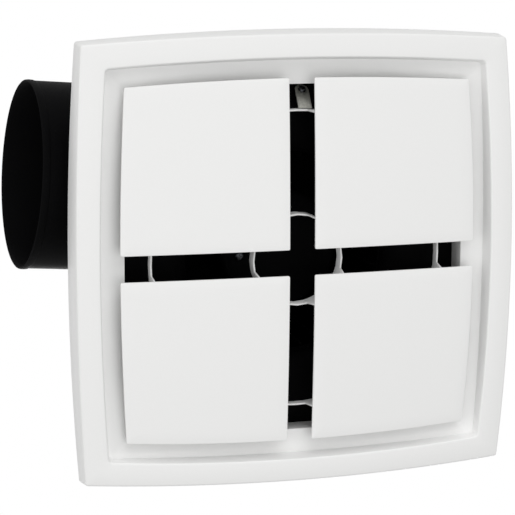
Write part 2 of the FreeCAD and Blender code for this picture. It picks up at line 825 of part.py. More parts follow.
def make_hub_screws():
    return [placed(screw(hub_screw_length, machine_shank), place) for place in hub_screw_places()]


# Motor

def make_rotor_can():
    bottom = cup_face + cup_face_thickness
    inner = rotor_radius - rotor_wall
    points = [(shaft_radius, bottom), (rotor_radius - 2.0, bottom), (rotor_radius, bottom + 2.0),
              (rotor_radius, rotor_top), (inner, rotor_top), (inner, bottom + rotor_wall),
              (rotor_boss_radius, bottom + rotor_wall), (rotor_boss_radius, rotor_boss_top),
              (shaft_radius, rotor_boss_top)]
    can = revolved(profile(points))
    holes = [cylinder(machine_hole, bottom - 1.0, bottom + rotor_wall + 1.0, place.x, place.y)
             for place in hub_screw_places()]
    return can.cut(holes)


def make_motor_shaft():
    bottom = cup_face + cup_face_thickness
    groove_top = circlip_place + circlip_thickness
    chamfer = 0.8
    points = [(0, bottom), (shaft_radius, bottom), (shaft_radius, circlip_place),
              (circlip_groove, circlip_place), (circlip_groove, groove_top), (shaft_radius, groove_top),
              (shaft_radius, shaft_top - chamfer), (shaft_radius - chamfer, shaft_top), (0, shaft_top)]
    return revolved(profile(points))


def make_shaft_circlip():
    """Open ring in the shaft's groove."""
    ring = tube(circlip_groove, circlip_radius, circlip_place, circlip_place + circlip_thickness)
    corner = Vector(0, -circlip_opening / 2, circlip_place - 1.0)
    return ring.cut(Part.makeBox(2 * circlip_radius, circlip_opening, circlip_thickness + 2.0, corner))


def bearing(z_low):
    """Shielded ball bearing as one ring, with a shallow recess over each shield."""
    z_high = z_low + bearing_width
    bore = shaft_radius + bearing_fit
    inner, outer = shield_inner + shield_slope, shield_outer - shield_slope
    lower = [(bore, 0.0), (shield_inner, 0.0), (inner, shield_depth), (outer, shield_depth),
             (shield_outer, 0.0), (bearing_radius, 0.0)]
    points = [(radius, z_low + depth) for radius, depth in lower]
    points += [(radius, z_high - depth) for radius, depth in reversed(lower)]
    return revolved(profile(points))


def make_stator_mount():
    """Cast flange with the tube that holds both bearings."""
    seat, step = bearing_radius, tube_step_radius
    cone = 8.0
    upper_end = bearing_upper_place + bearing_width + 3.0
    lower_end = bearing_lower_place + bearing_width
    points = [(seat, tube_bottom), (tube_radius, tube_bottom), (tube_radius, mount_disc_bottom - cone),
              (tube_radius + 6.0, mount_disc_bottom), (mount_disc_radius, mount_disc_bottom),
              (mount_disc_radius, well_floor), (step, well_floor), (step, upper_end), (seat, upper_end),
              (seat, bearing_upper_place), (step, bearing_upper_place), (step, lower_end), (seat, lower_end)]
    mount = revolved(profile(points))
    holes = [cylinder(machine_hole, mount_disc_bottom - 1.0, well_floor + 1.0, place.x, place.y)
             for place in motor_screw_places()]
    return mount.cut(holes)


def motor_screw_places():
    return [polar(motor_screw_radius, 45 + 90 * index, 0) for index in range(4)]


def make_stator_core():
    """Laminated core with open slots for the coils."""
    core = tube(tube_radius, core_radius, core_bottom, core_top)
    slots = []
    for index in range(core_slots):
        slot = cylinder(core_slot_radius, core_bottom - 1.0, core_top + 1.0, core_slot_place)
        mouth = Part.makeBox(core_radius, core_slot_mouth, core_top - core_bottom + 2.0,
                             Vector(core_slot_place, -core_slot_mouth / 2, core_bottom - 1.0))
        slots.append(turned(slot.fuse(mouth), 360.0 / core_slots * index))
    return core.cut(slots)


def make_stator_winding():
    """Coil ends at both faces of the core."""
    ends = []
    for low in (core_bottom - winding_height, core_top):
        ring = tube(winding_inner, winding_outer, low, low + winding_height)
        outside = low if low < core_bottom else low + winding_height
        rims = [edge for edge in ring.Edges if edge.Closed and abs(edge.CenterOfMass.z - outside) < 0.1]
        ends.append(ring.makeChamfer(winding_height / 2, rims))
    return ends


def make_motor_screws():
    seat = Vector(0, 0, well_floor + well_floor_thickness)
    fastener = screw(motor_screw_length, machine_shank)
    return [placed(fastener, place + seat, DOWN) for place in motor_screw_places()]


# Electrical pieces on the tray

def box_screw_place(side):
    """Screws that hold the terminal box, on two opposite inner corners."""
    return Vector(box_place + side * box_screw_spread, box_place - side * box_screw_spread, 0)


def cover_screw_place(side):
    """Screws that hold the cover, on the other two corners."""
    return Vector(box_place + side * cover_screw_spread, box_place + side * cover_screw_spread, 0)


def box_block(half, z_low, z_high, corner_radius):
    """Square block over the terminal box's place."""
    block = square_block(half, z_low, z_high, corner_radius)
    block.translate(Vector(box_place, box_place, 0))
    return block


def make_terminal_box():
    floor = plate_top + box_wall
    box = box_block(box_half, plate_top, box_top, box_corner_radius)
    box = box.cut(box_block(box_half - box_wall, floor, box_top + 1.0, box_corner_radius - box_wall))
    for side in (1, -1):
        place = cover_screw_place(side)
        box = box.fuse(cylinder(box_pillar_radius, plate_top, box_top, place.x, place.y))
        box = box.cut(cylinder(tapping_pilot, box_top - boss_pilot_depth, box_top + 1.0, place.x, place.y))
        place = box_screw_place(side)
        box = box.cut(cylinder(tapping_clear, plate_top - 1.0, floor + 1.0, place.x, place.y))
    outside = Vector(box_place - box_half - 5.0, box_place, gland_height)
    return box.cut(Part.makeCylinder(gland_radius - 2.0, 10.0, outside, Vector(1, 0, 0))).removeSplitter()


def make_terminal_cover():
    top = box_top + cover_thickness
    cover = box_block(box_half, box_top, top, box_corner_radius)
    rim = [edge for edge in cover.Edges if abs(edge.CenterOfMass.z - top) < 0.1]
    cover = cover.makeChamfer(cover_edge_chamfer, rim)
    for side in (1, -1):
        place = cover_screw_place(side)
        cover = cover.cut(cylinder(tapping_clear, box_top - 1.0, top + 1.0, place.x, place.y))
    return cover


def make_terminal_screws():
    """Two screws through the cover and two through the floor of the box."""
    screws = []
    for side in (1, -1):
        seat = cover_screw_place(side) + Vector(0, 0, box_top + cover_thickness)
        screws.append(placed(screw(box_cover_screw_length), seat, DOWN))
        seat = box_screw_place(side) + Vector(0, 0, plate_top + box_wall)
        screws.append(placed(screw(box_screw_length), seat, DOWN))
    return screws


def make_terminal_block():
    """Row of terminals, with a screw well and a wire hole each, and grooves between them."""
    floor = plate_top + box_wall
    top = floor + block_height
    low = Vector(box_place - block_width / 2, box_place - block_length / 2, floor)
    block = Part.makeBox(block_width, block_length, block_height, low)
    pitch = block_length / block_terminals
    well_bottom, wire_height, groove_width, groove_depth = floor + 4.0, floor + 5.0, 0.8, 4.0
    cuts = []
    for index in range(block_terminals):
        y = low.y + (index + 0.5) * pitch
        cuts.append(cylinder(block_screw_well, well_bottom, top + 1.0, box_place, y))
        start = Vector(low.x - 1.0, y, wire_height)
        cuts.append(Part.makeCylinder(block_wire_hole, block_width + 2.0, start, Vector(1, 0, 0)))
        if index:
            corner = Vector(low.x - 1.0, low.y + index * pitch - groove_width / 2, top - groove_depth)
            cuts.append(Part.makeBox(block_width + 2.0, groove_width, groove_depth + 1.0, corner))
    return block.cut(cuts)


def make_cable_gland():
    """Cable entry: a stub through the wall, a hexagon and a domed cap, all bored for the cable."""
    stub_length = box_wall + gland_stub
    stub_fit = 0.05
    stub = cylinder(gland_radius - 2.0 - stub_fit, -stub_length, 0.0)
    corners = [polar(gland_radius, 60 * index, 0) for index in range(7)]
    hexagon = Part.Face(Part.makePolygon(corners)).extrude(Vector(0, 0, gland_hexagon))
    cap = Part.makeCone(gland_radius - 1.0, gland_radius - 3.5, gland_length - gland_hexagon,
                        Vector(0, 0, gland_hexagon))
    gland = stub.fuse([hexagon, cap]).cut(cylinder(gland_bore, -stub_length - 1.0, gland_length + 1.0))
    wall = Vector(box_place - box_half, box_place, gland_height)
    return placed(gland.removeSplitter(), wall, Vector(-1, 0, 0))


def make_capacitor():
    """Run capacitor: a can with softened rims and two blade terminals."""
    can = cylinder(capacitor_radius, plate_top, capacitor_top, -capacitor_place, capacitor_place)
    can = can.makeChamfer(capacitor_rim, [edge for edge in can.Edges if edge.Closed])
    bite = 0.5
    tabs = []
    for side in (-1, 1):
        x = tab_spread * side - capacitor_place
        corner = Vector(x - tab_thickness / 2, capacitor_place - tab_width / 2, capacitor_top - bite)
        tabs.append(Part.makeBox(tab_thickness, tab_width, tab_height + bite, corner))
    return can.fuse(tabs)


def clamp_screw_place():
    reach = clamp_screw_reach * math.sqrt(0.5)
    return Vector(reach - capacitor_place, capacitor_place - reach, 0)


def make_capacitor_clamp():
    """Strap round the capacitor with a foot on the tray."""
    x, y = -capacitor_place, capacitor_place
    strap = cylinder(capacitor_radius + clamp_wall, plate_top, clamp_top, x, y)
    foot = Part.makeBox(clamp_foot_reach, clamp_foot_width, clamp_wall, Vector(0, -clamp_foot_width / 2, 0))
    ends = [edge for edge in upright_edges(foot) if edge.CenterOfMass.x > capacitor_radius]
    foot = turned(foot.makeFillet(clamp_foot_radius, ends), -45)
    foot.translate(Vector(x, y, plate_top))
    hole = clamp_screw_place()
    can = cylinder(capacitor_radius, plate_top - 1.0, clamp_top + 1.0, x, y)
    screw_hole = cylinder(tapping_clear, plate_top - 1.0, plate_top + clamp_wall + 1.0, hole.x, hole.y)
    return strap.fuse(foot).cut([can, screw_hole]).removeSplitter()


def make_clamp_screw():
    seat = clamp_screw_place() + Vector(0, 0, plate_top + clamp_wall)
    return placed(screw(clamp_screw_length), seat, DOWN)


nodes = {
    "fascia_frame": make_fascia_frame,
    "panel_upper_left": lambda: make_grille_panel(0),
    "panel_upper_right": lambda: make_grille_panel(1),
    "panel_lower_right": lambda: make_grille_panel(2),
    "panel_lower_left": lambda: make_grille_panel(3),
    "grille_ring_outer": lambda: grille_ring(outer_ring_radius, outer_ring_notch),
    "grille_ring_inner": lambda: grille_ring(inner_ring_radius, inner_ring_notch),
    "grille_screws": make_grille_screws,
    "inlet_tray": make_inlet_tray,
    "retaining_clips": make_retaining_clips,
    "clip_screws": make_clip_screws,
    "scroll_casing": make_scroll_casing,
    "casing_screws": make_casing_screws,
    "casing_cover": make_casing_cover,
    "cover_screws": make_cover_screws,
    "duct_spigot": make_duct_spigot,
    "spigot_screws": make_spigot_screws,
    "damper_flap": make_damper_flap,
    "damper_pin": make_damper_pin,
    "impeller_hub": make_impeller_hub,
    "impeller_blades": make_impeller_blades,
    "impeller_ring": make_impeller_ring,
    "hub_screws": make_hub_screws,
    "rotor_can": make_rotor_can,
    "motor_shaft": make_motor_shaft,
    "shaft_circlip": make_shaft_circlip,
    "bearing_lower": lambda: bearing(bearing_lower_place),
    "bearing_upper": lambda: bearing(bearing_upper_place),
    "stator_mount": make_stator_mount,
    "stator_core": make_stator_core,
    "stator_winding": make_stator_winding,
    "motor_screws": make_motor_screws,
    "terminal_box": make_terminal_box,
    "terminal_cover": make_terminal_cover,
    "terminal_screws": make_terminal_screws,
    "terminal_block": make_terminal_block,
    "cable_gland": make_cable_gland,
    "capacitor": make_capacitor,
    "capacitor_clamp": make_capacitor_clamp,
    "clamp_screw": make_clamp_screw,
}

os.makedirs("parts", exist_ok=True)
for name, make in nodes.items():
    shape = make()
    if isinstance(shape, list):
        shape = Part.makeCompound(shape)
    if not shape.isValid():
        raise ValueError(name + " is not a valid shape")
    shape.exportStep("parts/" + name + ".step")
    print(name, "solids", len(shape.Solids), "volume", round(shape.Volume / 1000, 2), "cm3")
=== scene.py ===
"""Dresses a ceiling exhaust fan: moulded fascia and housing, clips, screws, finishes and a plain studio.

Sizes are millimetres in the fan's own frame: the ceiling face is at height 0, +Z points up into the
ceiling void and +X towards the duct outlet. Each mesh is made in metres, in place.
"""

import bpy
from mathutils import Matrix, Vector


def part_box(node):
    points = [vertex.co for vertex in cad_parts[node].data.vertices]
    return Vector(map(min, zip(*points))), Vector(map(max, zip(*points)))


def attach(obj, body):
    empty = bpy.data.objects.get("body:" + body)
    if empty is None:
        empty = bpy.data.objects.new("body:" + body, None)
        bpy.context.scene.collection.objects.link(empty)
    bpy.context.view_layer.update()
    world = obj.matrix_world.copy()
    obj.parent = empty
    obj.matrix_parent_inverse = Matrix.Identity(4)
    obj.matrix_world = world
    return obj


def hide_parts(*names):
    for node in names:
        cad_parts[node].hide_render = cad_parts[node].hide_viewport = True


bl_info = {
    "name": "Ceiling exhaust fan",
    "version": (1, 0, 0),
    "blender": (4, 5, 0),
    "location": "View3D > Sidebar > Exhaust fan",
    "description": "Builds the fan's visible pieces and finishes on its packed frame",
    "category": "Object",
}

import math

import bmesh
import bpy
from bpy.props import FloatProperty, FloatVectorProperty, PointerProperty
from mathutils import Matrix, Vector

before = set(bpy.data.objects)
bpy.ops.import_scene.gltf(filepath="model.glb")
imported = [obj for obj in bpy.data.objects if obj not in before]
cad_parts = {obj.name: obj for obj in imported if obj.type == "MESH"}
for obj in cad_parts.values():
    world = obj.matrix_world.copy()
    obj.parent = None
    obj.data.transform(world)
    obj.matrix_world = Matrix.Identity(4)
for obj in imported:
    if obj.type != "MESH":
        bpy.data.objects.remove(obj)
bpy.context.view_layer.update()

MM = 0.001
# Vertices that are nearer to each other than this are joined
WELD = 0.001
SIDE_STEPS = 24
CORNER_STEPS = 6
# Radii of the small breaks along the edges of thin strips and of walls
THIN_BREAK = 0.3
WALL_BREAK = 0.5

# Fascia frame: a domed square surround whose sides bow outwards, with a channel round the panels
FRAME_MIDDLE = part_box("fascia_frame")[1].x / MM
FRAME_CORNER = 168.3
FRAME_LEAN = 0.088
FRAME_CROWN = -31.3
FRAME_DOME = 2030.0
FRAME_WALL = 2.5
FRAME_RADIUS = 2.6
FRAME_INNER_RADIUS = 1.6
RECESS_MIDDLE = 155.0
RECESS_CORNER = 149.0
RECESS_LEAN = 0.176
RECESS_FLOOR = -12.8
RECESS_RADIUS = 3.2
RECESS_FOOT_ROUND = 0.8
OPENING_HALF = 134.3
OPENING_GUSSET = 222.0
COLLAR_WALL = 2.2
COLLAR_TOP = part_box("fascia_frame")[1].z / MM
COLLAR_RADIUS = 6.0
FRAME_RIB_PLACES = (-90.0, 0.0, 90.0)
FRAME_RIB_TOP = -4.0

# Grille: four quadrant panels on two rings
PANEL_MIDDLE = 139.9
PANEL_CORNER = 135.1
PANEL_CROWN = -30.49
PANEL_DOME = 1820.0
PANEL_THICKNESS = 2.6
PANEL_REAR_CHAMFER = 1.0
PANEL_RADIUS = 1.2
SLOT_HALF = 9.95
RING_WALL = 1.3
RING_REAR = -7.0
OUTER_RING = 114.4
OUTER_NOTCH = -14.6
INNER_RING = 35.1
INNER_NOTCH = -17.5
RING_BITE = 0.05
NOTCH_HALF = 7.8
NOTCH_RAMP = 10.0
POST_PLACE = 118.0
POST_RADIUS = 5.0
RIB_THICKNESS = 1.8
RIB_DEPTH = 6.0
# Name, radius, height of the notches, and steps in a quarter of each ring
RINGS = (("outer", OUTER_RING, OUTER_NOTCH, 20), ("inner", INNER_RING, INNER_NOTCH, 9))

# Inlet tray: ceiling flange, square mouth and a plate with a bell mouth
FLANGE_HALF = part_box("inlet_tray")[1].x / MM
FLANGE_THICKNESS = 3.0
FLANGE_RADIUS = 12.0
FIXING_PLACE = 150.0
FIXING_RADIUS = 2.6
MOUTH_HALF = 139.0
MOUTH_WALL = 2.5
MOUTH_RADIUS = 6.0
MOUTH_OUTER_RADIUS = 8.0
PLATE_BOTTOM = 10.0
PLATE_TOP = 12.5
BELL_OUTER = 96.0
BELL_THROAT = 80.0
BELL_LIP = 21.0
BELL_WALL = 2.2

# Spring clips: sloping strips whose tips press on the outer ring, screwed to wedges under the tray's plate
CLIP_ANGLES = (93.8, 213.8, 333.8)
CLIP_WIDTH = 11.0
CLIP_TIP_RADIUS = 0.5
CLIP_END_RADIUS = 5.4
CLIP_THICKNESS = 1.2
CLIP_SLOPE = math.radians(44.4)
CLIP_TIP = -9.3
CLIP_SCREW_ALONG = 18.1
CLIP_SCREW_HEAD = 3.0
CLIP_BOSS_START = 11.0
CLIP_BOSS_END = 23.0
CLIP_BOSS_WIDTH = 9.0
CLIP_GAP = 0.35

# Outlet: the spigot's own X axis runs out along the duct from its flange
OUTLET_TURN = math.radians(4.5)
OUTLET_FALL = math.radians(2.6)
RIM_CENTRE = Vector((194.4, 58.3, 87.6))
SPIGOT_LENGTH = 60.0
SPIGOT_RADIUS = 73.5
BEAD_RADIUS = 74.2
BEAD_LENGTH = 6.0
MOUTH_BEVEL = 3.2
SPIGOT_BORE = 71.3
SPIGOT_FLANGE_HALF = 74.0
SPIGOT_FLANGE = 3.0
SPIGOT_FLANGE_RADIUS = 10.0
SPIGOT_SCREW_PLACE = 64.0
FLAP_PLACE = 30.0
FLAP_LEAN = math.radians(6.0)
FLAP_RADIUS = 70.3
FLAP_THICKNESS = 2.0
FLAP_PIVOT = 8.0
FLAP_HUB_RADIUS = 3.8
FLAP_HUB_HALF = 60.0
FLAP_STOP_GAP = 0.3
FLAP_STOP_WIDTH = 1.5
FLAP_STOP_HEIGHT = 3.8
FLAP_BEAD_PLACE = 26.0
FLAP_BEAD_LOW = -55.0
FLAP_BEAD_HIGH = 45.0
FLAP_BEAD_DEPTH = 2.0
FLAP_BEAD_HALF = 1.0

# Scroll casing and the cover that carries the motor
CASING_WALL = 2.5
CASING_INNER_TOP = 163.0
CASING_TOP = 166.0
TONGUE_RADIUS = 97.0
SPIRAL_END = math.radians(-270)
THROAT_HALF = 72.5
LIP_WIDTH = 9.0
LIP_THICKNESS = 3.0
END_PLATE = 3.0
BOSS_RADIUS = 4.2
BOSS_TIP_RADIUS = 1.0
BOSS_TAPER = 8.0
BOSS_LENGTH = 20.0
BOSS_OFFSET = 4.9
# Screws of the casing's foot and of the cover: shares of the way round the spiral, and two beside the throat
CASING_SCREW_SHARES = (0.22, 0.40, 0.58, 0.76, 0.94)
CASING_SCREW_ALONG = (105.0, 118.0)
COVER_SCREW_SHARES = (0.13, 0.31, 0.49, 0.67, 0.85)
COVER_SCREW_ALONG = (112.0, 112.0)
WELL_RADIUS = 55.5
WELL_FLOOR = 121.0
WELL_FLOOR_TOP = 124.0
WELL_ROUND = 2.0
WIRE_HOLE = 9.0
TOP_RIB_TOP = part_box("casing_cover")[1].z / MM
TOP_RIB_COUNT = 12
TOP_RIB_HALF = 1.0

# Electrical pieces on the tray
BOX_PLACE = Vector((-117.0, -117.0, 0.0))
BOX_HALF = 22.0
BOX_WALL = 2.0
BOX_RADIUS = 4.0
BOX_TOP = 52.0
COVER_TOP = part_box("terminal_cover")[1].z / MM
COVER_PANEL_HALF = 12.5
COVER_PANEL_RADIUS = 2.0
COVER_PANEL_DEPTH = 0.6
LID_SCREW_PLACE = 16.0
FOOT_SCREW_PLACE = 15.0
GLAND_HEIGHT = 32.0
GLAND_RADIUS = 10.0
GLAND_HEXAGON = 5.0
GLAND_STUB = 7.95
GLAND_BORE = 4.5
GLAND_LENGTH = 12.0
CAPACITOR_PLACE = Vector((-118.0, 118.0, 0.0))
CAPACITOR_RADIUS = 17.0
CAPACITOR_TOP = 74.0
BLADE_PLACE = 6.0
BLADE_HALF = Vector((0.4, 3.15))
BLADE_RISE = 8.5
CLAMP_WALL = 1.5
CLAMP_TOP = 28.5
CLAMP_FOOT_HALF = 7.0
CLAMP_FOOT_REACH = 13.0
CLAMP_FOOT_RADIUS = 3.0
CLAMP_SCREW_REACH = 7.0

# Impeller: a deep hub cup over the motor, with a backplate that carries the blades
IMPELLER_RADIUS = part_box("impeller_hub")[1].x / MM
CUP_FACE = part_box("impeller_hub")[0].z / MM
CUP_RADIUS = 46.4
CUP_WALL = 2.2
BACKPLATE_BOTTOM = 108.0
BACKPLATE_THICKNESS = 2.4
CUP_FACE_ROUND = 3.0

# Screws: pan heads with a cross recess
HEAD_RADIUS = 3.6
HEAD_HEIGHT = 2.3
TAPPING_SHANK = 1.38
MACHINE_SHANK = 1.68
HUB_SCREW_RADIUS = 32.5
HUB_SCREW_ANGLE = -8.7
MOTOR_SCREW_RADIUS = 34.0
# Nodes of the screws that show behind the grille, whose zinc is darkened as painted shade
BEHIND_GRILLE = ("clip_screws", "hub_screws")

# Camera of the photograph
CAMERA_PLACE = Vector((470.0, 298.1, -1566.4))
CAMERA_RIGHT = Vector((-0.96245, 0.0035, -0.27143))
CAMERA_UP = Vector((-0.04559, 0.98363, 0.17434))
CAMERA_LENS = 150.54
CAMERA_SENSOR = 36.0

# Soft lamps: name, direction from the fan, distance and width in metres
LAMPS = (
    ("front", (-0.12, -0.18, -0.97), 5.0, 4.5),
    ("side", (0.92, 0.1, -0.38), 5.0, 4.5),
    ("back", (-0.1, 0.84, -0.53), 5.0, 5.0),
)
# Light from above: the direction it comes from, and its spread
OVERHEAD = Vector((-0.35, -0.35, 0.87))
OVERHEAD_SPREAD = math.radians(20.0)
# Half the floor's width, in metres
FLOOR_HALF = 60.0

CORNERS = ((1, 1), (-1, 1), (-1, -1), (1, -1))
UP = Vector((0.0, 0.0, 1.0))
DOWN = Vector((0.0, 0.0, -1.0))
UNMOVED = Matrix.Identity(4)


def outlet_matrix():
    """Frame of the spigot: X out along the duct, origin where its flange meets the casing."""
    turn = Matrix.Rotation(OUTLET_TURN, 4, "Z") @ Matrix.Rotation(OUTLET_FALL, 4, "Y")
    return Matrix.Translation(RIM_CENTRE - turn @ Vector((SPIGOT_LENGTH, 0.0, 0.0))) @ turn


OUTLET = outlet_matrix()
SCROLL_TURN = Matrix.Rotation(OUTLET_TURN, 4, "Z")
ALONG_X = Matrix.Rotation(math.radians(90), 4, "Y")


# Outlines, as lists of flat places

def straight(start, end):
    """Straight side of an outline, as a function of 0 to 1."""
    return lambda share: start.lerp(end, share)


def bowed(start, end, rise):
    """Side that bows outwards by rise at its middle, on an outline that runs anticlockwise."""
    outward = Vector((end.y - start.y, start.x - end.x)).normalized()
    return lambda share: start.lerp(end, share) + outward * rise * 4 * share * (1 - share)


def rounded(sides, *radii):
    """Places along the sides of a closed outline, with a conic arc at each corner.

    The arcs have one radius, or one for the corner at the start of each side.
    """
    count = len(sides)
    radii = radii * (count // len(radii))
    lengths = [(side(1.0) - side(0.0)).length for side in sides]
    before = sides[-1:] + sides[:-1]
    bit = 0.01
    turns = [(last(1.0) - last(1 - bit)).angle(side(bit) - side(0.0)) for last, side in zip(before, sides)]
    cuts = [radius * math.tan(turn / 2) for radius, turn in zip(radii, turns)]
    places = []
    for index, side in enumerate(sides):
        after = (index + 1) % count
        first = cuts[index] / lengths[index]
        last = 1 - cuts[after] / lengths[index]
        places += [side(first + (last - first) * step / SIDE_STEPS) for step in range(SIDE_STEPS + 1)]
        start, corner, end = side(last), side(1.0), sides[after](cuts[after] / lengths[after])
        weight = math.cos(turns[after] / 2)
        for step in range(1, CORNER_STEPS):
            share = step / CORNER_STEPS
            near, middle, far = (1 - share) ** 2, 2 * weight * share * (1 - share), share ** 2
            places.append((start * near + corner * middle + end * far) / (near + middle + far))
    return places


def polygon(corners, *radii):
    """Outline with straight sides and rounded corners."""
    return rounded([straight(start, end) for start, end in zip(corners, corners[1:] + corners[:1])], *radii)


def bowed_square(middle, corner, radius):
    """Square outline whose sides bow from a half width at the corners to one at their middles."""
    corners = [Vector((corner * x, corner * y)) for x, y in ((1, -1), (1, 1), (-1, 1), (-1, -1))]
    return rounded([bowed(corners[i], corners[(i + 1) % 4], middle - corner) for i in range(4)], radius)


def square(half, radius):
    return bowed_square(half, half, radius)


def circle(radius, count):
    return [Vector((radius, 0.0)) @ Matrix.Rotation(-2 * math.pi * i / count, 2) for i in range(count)]


def same_bearings(places, reach):
    """Places on the same bearings, at one distance from the middle or at one that depends on the bearing."""
    found = []
    for place in places:
        bearing = math.atan2(place.y, place.x)
        distance = reach(bearing) if callable(reach) else reach
        found.append(Vector((distance * math.cos(bearing), distance * math.sin(bearing))))
    return found


def level(places, height):
    return [Vector((place.x, place.y, height)) for place in places]


def on_dome(places, radius, crown):
    """Places lifted onto a shallow dome whose lowest point is the crown."""
    return [Vector((place.x, place.y, crown + place.length_squared / (2 * radius))) for place in places]


def upright(places, along):
    """Flat places stood up across the X axis, at a place along it."""
    return [Vector((along, place.x, place.y)) for place in places]


# Mesh tools

def ring(bm, places, matrix):
    """Closed ring of vertices at places, in order."""
    vert = bmesh.ops.create_circle(bm, segments=len(places), radius=MM)["verts"][0]
    edge = vert.link_edges[0]
    verts = []
    for place in places:
        vert.co = (matrix @ place) * MM
        verts.append(vert)
        vert = edge.other_vert(vert)
        edge = next(other for other in vert.link_edges if other != edge)
    return verts


def ring_edges(bm, verts):
    return [bm.edges.get((verts[i - 1], verts[i])) for i in range(len(verts))]


def skin(bm, loops, matrix=UNMOVED, closed=False):
    """Surface through loops of places, extruded from one to the next. Returns the edges of each loop.

    A closed surface goes on to the first loop again. An open one has its two ends filled.
    """
    first = verts = ring(bm, loops[0], matrix)
    rings = [ring_edges(bm, verts)]
    for places in loops[1:] + (loops[:1] if closed else []):
        made = set(bmesh.ops.extrude_edge_only(bm, edges=rings[-1])["geom"])
        verts = [next(e.other_vert(v) for e in v.link_edges if e.other_vert(v) in made) for v in verts]
        for vert, place in zip(verts, places):
            vert.co = (matrix @ place) * MM
        rings.append(ring_edges(bm, verts))
    if closed:
        bmesh.ops.weld_verts(bm, targetmap=dict(zip(verts, first)))
        return rings[:-1]
    bmesh.ops.edgeloop_fill(bm, edges=rings[0])
    bmesh.ops.edgeloop_fill(bm, edges=rings[-1])
    return rings


def soften(bm, edges, radius, segments=3):
    """Rounds edges off."""
    bmesh.ops.bevel(bm, geom=edges, offset=radius * MM, offset_type="OFFSET", segments=segments, profile=0.5,
                    affect="EDGES", clamp_overlap=False, material=-1)


def soften_sharp(bm, radius, segments=2, least=50.0):
    """Rounds off every edge where two faces meet at more than a least angle."""
    sharp = [edge for edge in bm.edges if len(edge.link_faces) == 2
             and edge.calc_face_angle(0.0) > math.radians(least)]
    soften(bm, sharp, radius, segments)


def block(bm, low, high, matrix=UNMOVED):
    """Box between two corners."""
    low, high = Vector(low), Vector(high)
    size = Matrix.Diagonal((high - low).to_4d())
    size[3][3] = 1.0
    scale = Matrix.Scale(MM, 4)
    bmesh.ops.create_cube(bm, size=1.0, matrix=scale @ matrix @ Matrix.Translation((low + high) / 2) @ size)


def lathe(bm, points, segments=64, matrix=UNMOVED, closed=True):
    """Solid of revolution about the matrix's Z axis from a profile of (radius, height) points."""
    verts = [bm.verts.new((matrix @ Vector((radius, 0.0, height))) * MM) for radius, height in points]
    pairs = zip(verts, verts[1:] + verts[:1]) if closed else zip(verts, verts[1:])
    edges = [bm.edges.new(pair) for pair in pairs]
    bmesh.ops.spin(bm, geom=verts + edges, cent=matrix.translation * MM, axis=matrix.col[2].xyz,
                   angle=2 * math.pi, steps=segments, use_merge=True)


def aimed(place, direction):
    """Matrix that puts a shape's Z axis along a direction, at a place."""
    return Matrix.Translation(place) @ UP.rotation_difference(direction).to_matrix().to_4x4()


def polar(radius, degrees, height):
    angle = math.radians(degrees)
    return Vector((radius * math.cos(angle), radius * math.sin(angle), height))


def piece(bm, name, body, nodes, material, smooth=35.0):
    """Mesh object from a bmesh: faces outwards, smooth but for its sharp edges, riding on its body."""
    bmesh.ops.remove_doubles(bm, verts=bm.verts, dist=MM * WELD)
    bmesh.ops.recalc_face_normals(bm, faces=bm.faces)
    mesh = bpy.data.meshes.new(name)
    bm.to_mesh(mesh)
    bm.free()
    mesh.shade_smooth()
    mesh.set_sharp_from_angle(angle=math.radians(smooth))
    mesh.materials.append(material)
    made = bpy.data.objects.new(name, mesh)
    bpy.context.scene.collection.objects.link(made)
    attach(made, body)
    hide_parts(*nodes)
    return made


def drill(target, places, radius, low, high):
    """Cuts round holes through a piece."""
    bm = bmesh.new()
    for place in places:
        matrix = Matrix.Translation(Vector((place.x, place.y, (low + high) / 2)) * MM)
        bmesh.ops.create_cone(bm, cap_ends=True, segments=24, radius1=radius * MM, radius2=radius * MM,
                              depth=(high - low) * MM, matrix=matrix)
    mesh = bpy.data.meshes.new("drill")
    bm.to_mesh(mesh)
    bm.free()
    tool = bpy.data.objects.new("drill", mesh)
    bpy.context.scene.collection.objects.link(tool)
    cut = target.modifiers.new("holes", "BOOLEAN")
    cut.operation = "DIFFERENCE"
    cut.solver = "EXACT"
    cut.object = tool
    bpy.context.view_layer.update()
    drilled = bpy.data.meshes.new_from_object(target.evaluated_get(bpy.context.evaluated_depsgraph_get()))
    target.modifiers.clear()
    target.data = drilled
    bpy.data.objects.remove(tool)


# Materials

def linear(colour):
    """Linear colour, with alpha, of an sRGB hex value."""
    shares = [int(colour[i:i + 2], 16) / 255 for i in (0, 2, 4)]
    return [s / 12.92 if s <= 0.04045 else ((s + 0.055) / 1.055) ** 2.4 for s in shares] + [1.0]


def per_mm(size):
    """Texture scale at which one feature takes up a size in millimetres."""
    return 1.0 / (size * MM)


def add_node(tree, kind, values=None, links=None, **options):
    """Adds a node with its options, input values and links."""
    made = tree.nodes.new(kind)
    for name, value in options.items():
        setattr(made, name, value)
    for name, value in (values or {}).items():
        made.inputs[name].default_value = value
    for name, socket in (links or {}).items():
        tree.links.new(socket, made.inputs[name])
    return made


def start_material(name, **values):
    """New material with constant values on its shader.

    Returns the material, its tree, its shader and its Object coordinates.
    """
    material = bpy.data.materials.new(name)
    material.use_nodes = True
    tree = material.node_tree
    shader = tree.nodes["Principled BSDF"]
    for key, value in values.items():
        shader.inputs[key.replace("_", " ")].default_value = value
    return material, tree, shader, add_node(tree, "ShaderNodeTexCoord").outputs["Object"]


